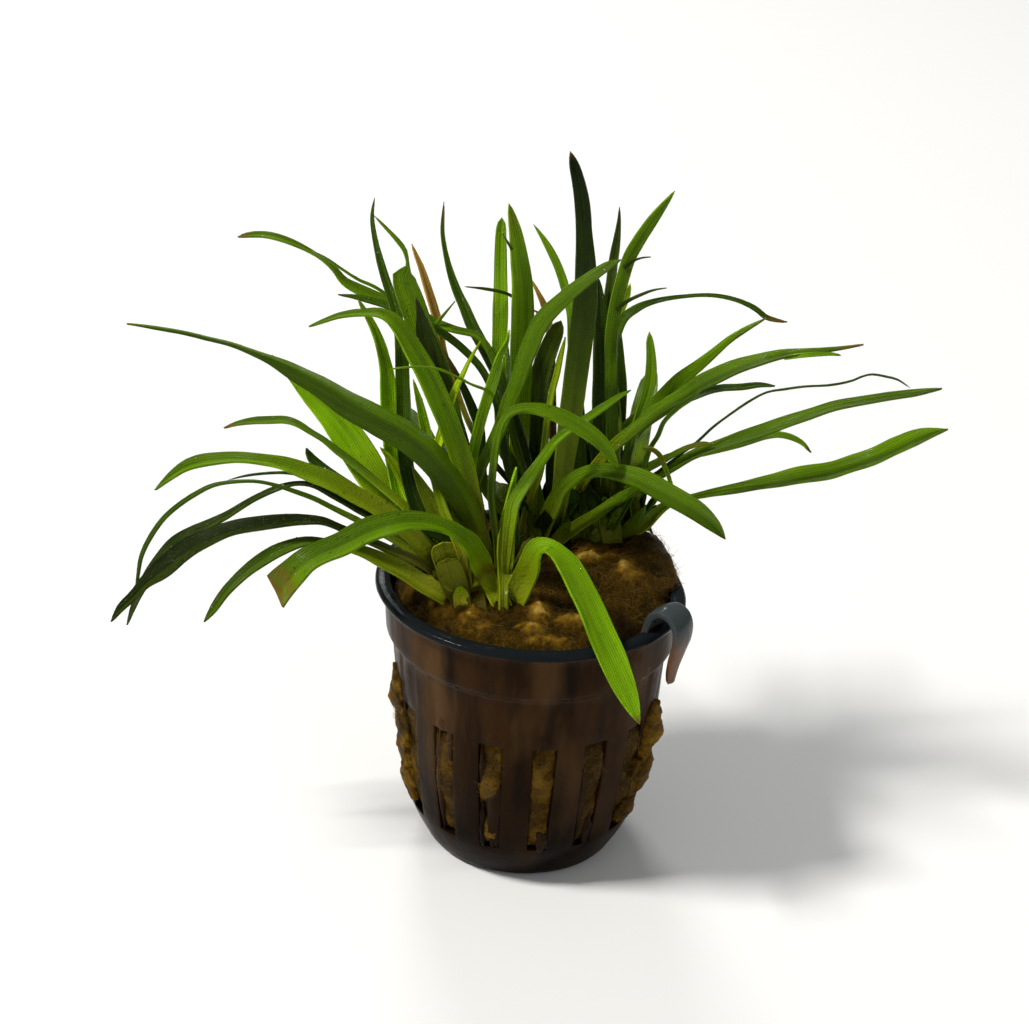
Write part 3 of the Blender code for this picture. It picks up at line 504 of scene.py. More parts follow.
@dataclass(frozen=True)
class LeafFinish:
    """A wet leaf: its colours from the base to the tip, its veins and its gloss."""

    name: str
    base: Colour
    low: Colour
    light: Colour
    dark: Colour
    tip: Colour = (0.16, 0.095, 0.010)
    vein: float = 0.46
    gloss: float = 0.42
    glow: float = 0.10

    def make(self) -> bpy.types.Material:
        """The material, which reads the blade's own attributes for its veins and its tip.

        Returns:
            The material.
        """
        shader = Shader(
            self.name,
            Specular_IOR_Level=0.03,
            Coat_Weight=0.26,
            Coat_Roughness=0.05,
            Coat_IOR=1.33,
            Subsurface_Weight=self.glow,
            Subsurface_Scale=0.0006,
            Subsurface_Radius=(0.6, 1.0, 0.1),
        )
        blotch = shader.noise(150, 3)
        slow_run = shader.times(shader.attribute("run_mm"), 0.035)
        streak = shader.node("CombineXYZ", {0: shader.attribute("across_mm"), 1: slow_run})
        streaks = shader.noise(1.4, 2, vector=streak.outputs[0])
        body = shader.mix(shader.spread(streaks, 0.3, 0.7), self.dark, self.light)
        body = shader.mix(shader.spread(blotch, 0.38, 0.68, 0, 0.65), body, self.light)
        pale = shader.attribute("pale")
        body = shader.mix(shader.spread(pale, 0.0, 0.55), body, self.low)
        body = shader.mix(shader.spread(pale, 0.5, 1.0), body, self.base)
        # The shade attribute scales the colour: each leaf's own tone with painted light and painted shade
        body = shader.mix(1.0, body, shader.grey(shader.attribute("shade")), "MULTIPLY")
        worn = shader.times(shader.attribute("withered"), shader.spread(blotch, 0.3, 0.5, 0.6, 1))
        body = shader.mix(worn, body, self.tip)
        veins = self.veins(shader)
        body = shader.mix(shader.times(veins, self.vein), body, self.vein_colour())
        shader.colour(body)
        wet = shader.noise(520, 4)
        shader.roughness(shader.spread(wet, 0.35, 0.65, self.gloss * 0.7, self.gloss * 1.5))
        height = shader.plus(shader.times(veins, -0.7), shader.times(wet, 0.5))
        beads = shader.spread(shader.noise(2300, 2), 0.5, 0.7, 0, 0.9)
        shader.bump(shader.plus(height, beads), 0.6, 0.00014)
        return shader.material

    def vein_colour(self) -> Colour:
        """The colour of the lines between the veins, which is a deep shade of the blade's."""
        return tuple(0.35 * value for value in self.dark)

    def veins(self, shader: Shader) -> bpy.types.NodeSocket:
        """Long fine lines with weaker cross-bars between them.

        Args:
            shader: the material that is being built.

        Returns:
            The lines as a number from 0 to 1.
        """
        across = shader.times(shader.attribute("across_mm"), math.pi / VEIN_PITCH)
        long_lines = shader.math("POWER", shader.math("ABSOLUTE", shader.math("SINE", across)), 4.0)
        wander = shader.times(shader.noise(700, 2), 2.5)
        bar_run = shader.times(shader.attribute("run_mm"), math.pi / BAR_PITCH)
        run = shader.plus(bar_run, wander)
        bars = shader.math("POWER", shader.math("ABSOLUTE", shader.math("SINE", run)), 6.0)
        fade = shader.spread(shader.attribute("pale"), 0.2, 0.9, 1, 0.35)
        both = shader.math("MAXIMUM", long_lines, shader.times(bars, 0.6))
        return shader.times(both, fade)


# The distance between a leaf's long veins, and between the bars that cross them
VEIN_PITCH = 0.38
BAR_PITCH = 0.52


class LeafTone(Enum):
    """The finishes that a leaf may have."""

    # Beside the leaves' own greens, LIME and YELLOW are partly painted light that shines through a leaf,
    # and DEEP partly painted shade
    LIME = LeafFinish(
        "leaf_lime", (0.21, 0.25, 0.006), (0.21, 0.29, 0.004), (0.19, 0.36, 0.002), (0.105, 0.225, 0.001)
    )
    GREEN = LeafFinish(
        "leaf_green", (0.22, 0.25, 0.008), (0.165, 0.235, 0.003), (0.125, 0.235, 0.0015),
        (0.060, 0.128, 0.001)
    )
    DEEP = LeafFinish(
        "leaf_deep", (0.085, 0.115, 0.004), (0.062, 0.105, 0.002), (0.036, 0.074, 0.001),
        (0.012, 0.029, 0.0006), gloss=0.34, glow=0.04
    )
    GREY = LeafFinish(
        "leaf_grey", (0.12, 0.12, 0.012), (0.058, 0.078, 0.003), (0.034, 0.055, 0.002),
        (0.010, 0.020, 0.001), gloss=0.30, glow=0.03
    )
    YELLOW = LeafFinish(
        "leaf_yellow", (0.30, 0.28, 0.015), (0.30, 0.34, 0.006), (0.30, 0.42, 0.004), (0.17, 0.28, 0.002)
    )
    BROWN = LeafFinish(
        "leaf_brown", (0.06, 0.09, 0.003), (0.09, 0.12, 0.005), (0.33, 0.19, 0.035), (0.16, 0.09, 0.012),
        tip=(0.10, 0.045, 0.008), gloss=0.42, glow=0.05
    )
    SHEATH = LeafFinish(
        "leaf_sheath", (0.055, 0.045, 0.003), (0.09, 0.09, 0.004), (0.12, 0.13, 0.004),
        (0.06, 0.07, 0.002), vein=0.12, gloss=0.36, glow=0.06
    )


@dataclass(frozen=True)
class PotFinish:
    """Dark moulded plastic under a brown film of wet dirt, with a clean rim tinted blue: painted
    reflection.
    """

    name: str = "net_pot_plastic"
    plastic_and_painted_sheen: Colour = (0.008, 0.0105, 0.012)
    film: Colour = (0.031, 0.0132, 0.0032)
    film_dark: Colour = (0.0095, 0.0040, 0.0010)
    film_light: Colour = (0.105, 0.055, 0.020)
    coat: float = 0.07
    rim_height: float = 49.1
    rim_blend: float = 0.4

    def make(self) -> bpy.types.Material:
        """The material.

        Returns:
            The material.
        """
        shader = Shader(
            self.name, Specular_IOR_Level=0.02, Coat_Weight=self.coat, Coat_Roughness=0.12, Coat_IOR=1.33
        )
        height = shader.node("SeparateXYZ", {0: shader.place()}).outputs[2]
        drips = shader.noise(190, 5, vector=shader.stretched((1, 1, 0.16)))
        patches = shader.noise(75, 4)
        film = shader.mix(shader.spread(drips, 0.36, 0.54), self.film_dark, self.film)
        film = shader.mix(shader.spread(patches, 0.52, 0.66, 0, 0.6), film, self.film_dark)
        streaks = shader.noise(95, 3, vector=shader.stretched((1, 1, 0.35)))
        film = shader.mix(shader.spread(streaks, 0.54, 0.72, 0, 0.55), film, self.film_light)
        # The film is painted darker towards the pot's bottom: painted shade
        painted_low_shade = shader.spread(height, 0.001, 0.034, 0.2, 1.0)
        film = shader.mix(1.0, film, shader.grey(painted_low_shade), "MULTIPLY")
        low = shader.plus(height, shader.times(patches, 0.0010))
        edge = self.rim_height + 0.2
        clean = shader.spread(low, edge * MM, (edge + self.rim_blend) * MM)
        # The clean rim takes the bare colour, whose blue tint is a painted reflection of the sky
        shader.colour(shader.mix(clean, film, self.plastic_and_painted_sheen))
        fine = shader.noise(900, 4)
        rough_film = shader.spread(drips, 0.35, 0.65, 0.20, 0.42)
        shader.roughness(shader.math("SUBTRACT", rough_film, shader.times(clean, 0.14), clamp=True))
        lumps = shader.plus(shader.times(drips, 0.9), shader.times(fine, 0.25))
        lumps = shader.plus(lumps, shader.times(patches, 1.2))
        shader.bump(lumps, 0.5, 0.0004)
        return shader.material


# The hook is of the same plastic, but cleaner, thinner and lighter at its tip
HOOK_FINISH = PotFinish(
    name="hook_plastic",
    # The hook's top is painted lighter than the pot's rim for the highlight on it: painted highlight
    plastic_and_painted_sheen=(0.042, 0.052, 0.053),
    film=(0.13, 0.060, 0.026),
    film_dark=(0.05, 0.025, 0.013),
    film_light=(0.24, 0.125, 0.060),
    coat=0.6,
    rim_height=47.4,
    rim_blend=4.5,
)


@dataclass(frozen=True)
class WoolFinish:
    """Matted wet mineral wool, from dark hollows of painted shade to golden crests with painted light."""

    dark: Colour = (0.011, 0.0070, 0.0006)
    middle: Colour = (0.062, 0.031, 0.0016)
    light: Colour = (0.25, 0.130, 0.009)
    bright: Colour = (0.50, 0.32, 0.06)

    def make(self) -> bpy.types.Material:
        """The material.

        Returns:
            The material.
        """
        shader = Shader(
            "wet_wool", Specular_IOR_Level=0.02, Coat_Weight=0.18, Coat_Roughness=0.14, Coat_IOR=1.33
        )
        lumps = shader.noise(130, 5)
        fine = shader.noise(1500, 6, roughness=0.7)
        mats = shader.noise(700, 5, vector=shader.stretched((1, 0.35, 1)), roughness=0.65)
        tone = shader.plus(shader.times(lumps, 0.40), shader.times(mats, 0.42))
        # The crest attribute: the wool's golden patches, with painted light on lumps and painted shade in
        # pits
        tone = shader.plus(tone, shader.times(shader.attribute("crest"), 0.62))
        stops = ((0.40, self.dark), (0.60, self.middle), (0.82, self.light), (1.0, self.bright))
        shader.colour(shader.ramp(tone, stops))
        shader.roughness(shader.spread(fine, 0.3, 0.7, 0.22, 0.62))
        height = shader.plus(shader.times(mats, 1.0), shader.times(fine, 0.7))
        shader.bump(height, 1.0, 0.0010)
        return shader.material


@dataclass(frozen=True)
class FibreFinish:
    """One kind of loose fibre on the wool."""

    name: str
    light: Colour
    dark: Colour

    def make(self) -> bpy.types.Material:
        """The material.

        Returns:
            The material.
        """
        shader = Shader(self.name, Specular_IOR_Level=0.15, Coat_Weight=0.2, Coat_Roughness=0.2)
        blotch = shader.noise(260, 3)
        shader.colour(shader.mix(shader.spread(blotch, 0.35, 0.65), self.dark, self.light))
        shader.roughness(shader.spread(shader.noise(2000, 2), 0.3, 0.7, 0.3, 0.55))
        return shader.material


@dataclass(frozen=True)
class WaterFinish:
    """Clear water."""

    name: str = "water"

    def make(self) -> bpy.types.Material:
        """The material, whose roughness varies a little as on a drop that holds dust.

        Returns:
            The material.
        """
        shader = Shader(self.name, Base_Color=(0.96, 0.98, 0.94, 1), Transmission_Weight=1.0, IOR=1.33)
        shader.roughness(shader.spread(shader.noise(3000, 2), 0.3, 0.7, 0.0, 0.06))
        return shader.material


@dataclass(frozen=True)
class FloorFinish:
    """The pale floor that the pot stands on."""

    colour: Colour = (0.86, 0.86, 0.85)

    def make(self) -> bpy.types.Material:
        """The material.

        Returns:
            The material.
        """
        shader = Shader("pale_floor")
        shader.colour(shader.mix(shader.noise(3, 2), self.colour, tuple(0.98 * c for c in self.colour)))
        shader.roughness(0.85)
        return shader.material


# The reference view


@dataclass(frozen=True)
class ReferenceView:
    """The camera, and the places that points read in its picture stand for.

    A reading is a (column, row) in a picture of columns by rows points, from its top left.
    """

    eye: tuple[float, float, float] = (0.0, -260.5, 188.7)
    aim: tuple[float, float, float] = (-3.9, 0.0, 61.9)
    roll: float = math.radians(3.11)
    lens: float = 1731.0
    columns: int = 1029
    rows: int = 1024
    sensor: float = 36.0

    def axes(self) -> tuple[Points, Points, Points]:
        """The picture's own directions.

        Returns:
            The directions away from the eye, to the right and up in the picture.
        """
        away = unit(np.array(self.aim) - np.array(self.eye))
        level = unit(np.cross(away, (0.0, 0.0, 1.0)))
        upright = np.cross(level, away)
        right = level * math.cos(self.roll) + upright * math.sin(self.roll)
        up = upright * math.cos(self.roll) - level * math.sin(self.roll)
        return away, right, up

    def place_of(self, column: float, row: float, depth: float) -> Points:
        """The point that a reading shows.

        Args:
            column: the reading's column.
            row: the reading's row.
            depth: how far behind the pot's axis the point lies.

        Returns:
            The point, in millimetres.
        """
        away, right, up = self.axes()
        ray = away + right * (column - self.columns / 2) / self.lens
        ray = ray - up * (row - self.rows / 2) / self.lens
        return np.array(self.eye) + ray * (depth - self.eye[1]) / ray[1]

    def reading_of(self, point: Points) -> Points:
        """The reading at which a point shows.

        Args:
            point: a point in millimetres, or rows of them.

        Returns:
            The column and the row.
        """
        away, right, up = self.axes()
        from_eye = np.asarray(point) - np.array(self.eye)
        reach = from_eye @ away
        across = self.columns / 2 + self.lens * (from_eye @ right) / reach
        down = self.rows / 2 - self.lens * (from_eye @ up) / reach
        return np.stack([across, down], axis=-1)

    def size_at(self, point: Points) -> float:
        """How many millimetres one picture point stands for at a place."""
        away = self.axes()[0]
        return float((point - np.array(self.eye)) @ away) / self.lens

    def sight(self, point: Points) -> Points:
        """The direction from the eye to a point."""
        return unit(point - np.array(self.eye))

    def build(self) -> None:
        """Adds the camera and makes it the scene's."""
        away, right, up = self.axes()
        data = bpy.data.cameras.new("reference_view")
        data.sensor_width = self.sensor
        data.lens = self.lens / self.columns * self.sensor
        data.clip_start = 0.01
        data.clip_end = 20.0
        camera = bpy.data.objects.new("reference_view", data)
        turn = Matrix(np.stack([right, up, -away], axis=1).tolist()).to_4x4()
        camera.matrix_world = Matrix.Translation(Vector(self.eye) * MM) @ turn
        bpy.context.scene.collection.objects.link(camera)
        bpy.context.scene.camera = camera


# The pot


# The outer wall from the base up to the collar: height and radius of its main points
WALL_HEIGHTS = (0.0, 0.7, 4.4, 8.0, 20.0, 30.0, 39.5, 41.0, 48.0)
WALL_RADII = (16.0, 17.4, 19.3, 20.7, 22.4, 23.1, 23.9, 25.0, 25.4)


@dataclass
class NetPot:
    """The moulded pot with its slots, drain openings and hook. Angles are in degrees."""

    height: float = 50.0
    rim_radius: float = 27.0
    collar_radius: float = 25.4
    wall: float = 1.2
    slots: int = 16
    first_slot: float = -81.0
    slot_top: float = 30.0
    slot_bottom: float = 8.0
    slot_arc_top: float = 10.5
    slot_arc_bottom: float = 9.0
    columns_per_slot: int = 12
    slot_columns: int = 4
    dent: float = 1.9
    dent_azimuth: float = 14.0
    dent_spread: float = 26.0
    wave: float = 0.16
    groove_depth: float = 0.2
    lip_radius: float = 0.7
    drain_outer: float = 14.5
    drain_inner: float = 8.0
    hook_azimuth: float = -37.0
    hook_width: float = 5.0
    hook_thickness: float = 1.15
    finish: PotFinish = field(default_factory=PotFinish)
    material: bpy.types.Material | None = None

    # Heights of the wall's rows below and above the slots
    FOOT_HEIGHTS = (0.0, 0.25, 0.7, 1.6, 2.8, 4.4, 6.2)
    COLLAR_HEIGHTS = (32.5, 35.0, 37.5, 39.2, 39.7, 40.2, 40.7, 41.2, 42.5, 44.5, 46.5, 47.8)
    # The height at which the foot has become the wall, and the floor's smallest ring
    FOOT_RISE = 1.6
    FLOOR_MIDDLE = 1.5
    # The height at which the scored lines above the slots end, and the base's height and the wall's
    # least radius, which tell the two kinds of opening apart
    GROOVE_TOP = 40.3
    BASE_TOP = 3.0
    WALL_LEAST = 17.0
    # The hook's middle line from its root in the rim to its free end: radius and height
    HOOK_LINE = (
        (24.7, 47.4), (24.9, 50.6), (25.7, 52.9), (27.3, 54.0), (29.1, 53.7), (30.2, 52.3), (30.4, 50.0),
        (29.8, 47.2), (29.2, 44.6), (28.9, 42.6), (28.8, 41.4),
    )
    # The hook's width on its way to the free end: share of its length, share of its full width
    HOOK_TAPER = ((0.0, 1.0), (0.45, 1.0), (0.62, 0.86), (0.8, 0.62), (0.93, 0.42), (1.0, 0.28))

    def slot_half_arc(self, height: float) -> float:
        """Half a slot's arc at a height, which is the same below and above the slot.

        Args:
            height: the height.

        Returns:
            Half the arc, in degrees.
        """
        share = (height - self.slot_bottom) / (self.slot_top - self.slot_bottom)
        share = min(max(share, 0.0), 1.0)
        return (self.slot_arc_bottom + (self.slot_arc_top - self.slot_arc_bottom) * share) / 2

    def slot_middle(self, slot: int) -> float:
        """The azimuth of a slot's middle."""
        return self.first_slot + slot * 360 / self.slots

    def pressed(self, radius: float, azimuth: float, height: float) -> float:
        """A radius after the dent beside the hook and the wall's slight waves.

        Args:
            radius: the radius before.
            azimuth: the azimuth.
            height: the height.

        Returns:
            The radius.
        """
        from_dent = (azimuth - self.dent_azimuth + 180) % 360 - 180
        high = max(height - self.slot_top, 0.0) / (self.height - self.slot_top)
        dent = self.dent * high * math.exp(-((from_dent / self.dent_spread) ** 2))
        turn = math.radians(azimuth)
        place = (22 * math.cos(turn), 22 * math.sin(turn), height * 0.6)
        return radius - dent + self.wave * rough(place, 9.0, 3.1)

    def outer_rows(self) -> list[tuple[float, float]]:
        """The outer skin's rows from the middle of the base to the lip.

        Returns:
            A radius and a height for each row.
        """
        base = [(radius, 0.0) for radius in (3.0, self.drain_inner, 11.0, self.drain_outer, 15.4)]
        over_slots = np.linspace(self.slot_bottom, self.slot_top, 12)
        heights = [*self.FOOT_HEIGHTS, *over_slots, *self.COLLAR_HEIGHTS]
        return base + [(float(np.interp(h, WALL_HEIGHTS, WALL_RADII)), float(h)) for h in heights]

    def lip_arc(self, middle: float, angles: Sequence[float]) -> list[tuple[float, float]]:
        """Rows round one edge of the rolled rim.

        Args:
            middle: the radius of the roll's middle.
            angles: each row's angle from level and outwards, in degrees.

        Returns:
            A radius and a height for each row.
        """
        top = self.height - self.lip_radius
        turns = [math.radians(angle) for angle in angles]
        return [
            (middle + self.lip_radius * math.cos(turn), top + self.lip_radius * math.sin(turn))
            for turn in turns
        ]

    def lip_rows(self) -> list[tuple[float, float]]:
        """The rolled rim, from under its outer edge over its top to the inner wall.

        Returns:
            A radius and a height for each row.
        """
        outer = self.rim_radius - self.lip_radius
        inner = self.collar_radius - self.wall + self.lip_radius + 0.1
        under_rim = (self.collar_radius + 0.25, 48.2)
        crest = ((outer + inner) / 2, self.height + 0.02)
        outer_edge = self.lip_arc(outer, (-80, -45, -10, 20, 50, 80))
        return [under_rim, *outer_edge, crest, *self.lip_arc(inner, (95, 125, 155, 180))]

    def inner_rows(self, outer: Sequence[tuple[float, float]]) -> list[tuple[float, float]]:
        """The inner skin's rows from the lip down to the middle of the floor.

        Args:
            outer: the outer skin's rows.

        Returns:
            A radius and a height for each row.
        """
        rows = []
        for radius, height in reversed(outer):
            upright = min(height / self.FOOT_RISE, 1.0)
            inner = max(radius - self.wall * upright * 0.98, self.FLOOR_MIDDLE)
            rows.append((inner, height + self.wall * (1 - upright) + 0.02))
        return rows

    def raise_skin(self, rows: Sequence[tuple[float, float]]) -> bpy.types.Object:
        """Extrudes a circle through rows of radius and height, and closes both ends.

        Args:
            rows: the rows in order, from the base's middle round to the floor's middle.

        Returns:
            The closed skin.
        """
        columns = self.slots * self.columns_per_slot
        radius, height = rows[0]
        deselect_all()
        bpy.ops.mesh.primitive_circle_add(
            vertices=columns, radius=radius * MM, location=(0, 0, height * MM), fill_type="NGON"
        )
        skin = take_new("net_pot")
        bpy.ops.object.transform_apply(location=True, rotation=True, scale=True)
        bpy.ops.object.mode_set(mode="EDIT")
        bpy.ops.mesh.select_mode(type="EDGE")
        bpy.ops.mesh.select_all(action="SELECT")
        for next_radius, next_height in rows[1:]:
            step = (0, 0, (next_height - height) * MM)
            bpy.ops.mesh.extrude_edges_move(TRANSFORM_OT_translate={"value": step})
            grow = next_radius / radius
            bpy.ops.transform.resize(value=(grow, grow, 1), center_override=(0, 0, next_height * MM))
            radius, height = next_radius, next_height
        bpy.ops.mesh.edge_face_add()
        bpy.ops.mesh.select_all(action="SELECT")
        bpy.ops.mesh.normals_make_consistent(inside=False)
        bpy.ops.object.mode_set(mode="OBJECT")
        return skin

    def column_azimuth(self, column: int, height: float) -> float:
        """Where a column of points stands, so that the slots' edges have columns of their own.

        Args:
            column: the column's number.
            height: the height of the point.

        Returns:
            Its azimuth in degrees.
        """
        slot, part = divmod(column, self.columns_per_slot)
        half = self.slot_half_arc(height)
        pitch = 360 / self.slots
        if part <= self.slot_columns:
            offset = -half + 2 * half * part / self.slot_columns
        else:
            rest = self.columns_per_slot - self.slot_columns
            offset = half + (pitch - 2 * half) * (part - self.slot_columns) / rest
        return self.slot_middle(slot) + offset

    def groove(self, column: int, height: float) -> float:
        """How deep the wall is scored above the slots' edges.

        Args:
            column: the column's number.
            height: the height of the point.

        Returns:
            The depth.
        """
        on_edge = column % self.columns_per_slot in (0, self.slot_columns)
        if on_edge and self.slot_top + 1 < height < self.GROOVE_TOP:
            return self.groove_depth
        return 0.0

    def set_columns(self, skin: bpy.types.Object) -> None:
        """Turns each point of the skin to its column's azimuth and presses it in or out.

        Args:
            skin: the pot's skin.
        """
        columns = self.slots * self.columns_per_slot
        places = read_points(skin.data) / MM
        turned = places.copy()
        for index, (x, y, height) in enumerate(places):
            radius = math.hypot(x, y)
            column = round(math.degrees(math.atan2(y, x)) / (360 / columns)) % columns
            azimuth = self.column_azimuth(column, height)
            turn = math.radians(azimuth)
            outside = radius > float(np.interp(height, WALL_HEIGHTS, WALL_RADII)) - 0.5
            radius = self.pressed(radius, azimuth, height) - outside * self.groove(column, height)
            turned[index, :2] = radius * math.cos(turn), radius * math.sin(turn)
        place_points(skin.data, turned * MM)

    def open_slots(self, skin: bpy.types.Object) -> None:
        """Cuts the side slots and the drain openings by bridging the outer skin to the inner.

        Args:
            skin: the pot's skin.
        """
        bpy.context.view_layer.objects.active = skin
        skin.select_set(True)
        for slot in range(self.slots):
            self.bridge_opening(skin, slot, self.in_side_slot)
            if slot % 2 == 0:
                self.bridge_opening(skin, slot, self.in_drain)
        bpy.ops.object.mode_set(mode="OBJECT")

    def in_side_slot(self, radius: float, height: float) -> bool:
        """Whether a face's middle lies at the height of the side slots."""
        return radius > self.WALL_LEAST and self.slot_bottom < height < self.slot_top

    def in_drain(self, radius: float, height: float) -> bool:
        """Whether a face's middle lies in the ring of the drain openings."""
        return self.drain_inner < radius < self.drain_outer and height < self.BASE_TOP

    def bridge_opening(
        self, skin: bpy.types.Object, slot: int, inside: Callable[[float, float], bool]
    ) -> None:
        """Selects one opening's faces on both skins and bridges their edges.

        Args:
            skin: the pot's skin.
            slot: the opening's number.
            inside: a test on a face's radius and height.
        """
        bpy.ops.object.mode_set(mode="EDIT")
        bpy.ops.mesh.select_mode(type="FACE")
        bpy.ops.mesh.select_all(action="DESELECT")
        shape = bmesh.from_edit_mesh(skin.data)
        middle = math.radians(self.slot_middle(slot))
        for face in shape.faces:
            x, y, z = face.calc_center_median() / MM
            off = (math.atan2(y, x) - middle + math.pi) % (2 * math.pi) - math.pi
            half = math.radians(self.slot_half_arc(z))
            chosen = abs(off) < half and inside(math.hypot(x, y), z) and len(face.verts) == 4
            face.select_set(chosen)
        bmesh.update_edit_mesh(skin.data)
        bpy.ops.mesh.bridge_edge_loops()

    def hook(self) -> bpy.types.Object:
        """The flat tongue that arches over the rim.

        Returns:
            The hook.
        """
        line = smooth_curve(np.array([(r, 0.0, h) for r, h in self.HOOK_LINE]), 48)
        ahead = unit(np.gradient(line, axis=0))
        across = np.array([0.0, 1.0, 0.0])
        share = np.linspace(0, 1, len(line))
        taper = np.array(self.HOOK_TAPER)
        half = self.hook_width / 2 * np.interp(share, taper[:, 0], taper[:, 1])
        crown = np.cross(ahead, across)
        columns = np.linspace(-1, 1, 9)
        bow = 0.35 * (1 - columns**2)
        sheet = line[:, None] + across * (half[:, None] * columns)[..., None]
        sheet = sheet + crown[:, None] * bow[None, :, None]
        hook = add_grid("rim_hook", sheet)
        apply_modifier(hook, "SOLIDIFY", thickness=self.hook_thickness * MM, offset=0.0)
        round_edges(hook, 0.4)
        apply_modifier(hook, "SUBSURF", levels=1, render_levels=1)
        deselect_all()
        hook.data.transform(Matrix.Rotation(math.radians(self.hook_azimuth), 4, "Z"))
        smooth_shading(hook, 60)
        return hook

    def build(self) -> None:
        """Models the pot and its hook, and dresses them."""
        outer = self.outer_rows()
        skin = self.raise_skin([*outer, *self.lip_rows(), *self.inner_rows(outer)])
        self.set_columns(skin)
        self.open_slots(skin)
        round_edges(skin, 0.22)
        smooth_shading(skin, 42)
        self.material = self.finish.make()
        hook = self.hook()
        finish_piece(skin, self.material, "pot_plastic", ["pot"])
        finish_piece(hook, HOOK_FINISH.make(), "pot_plastic")


# The wool


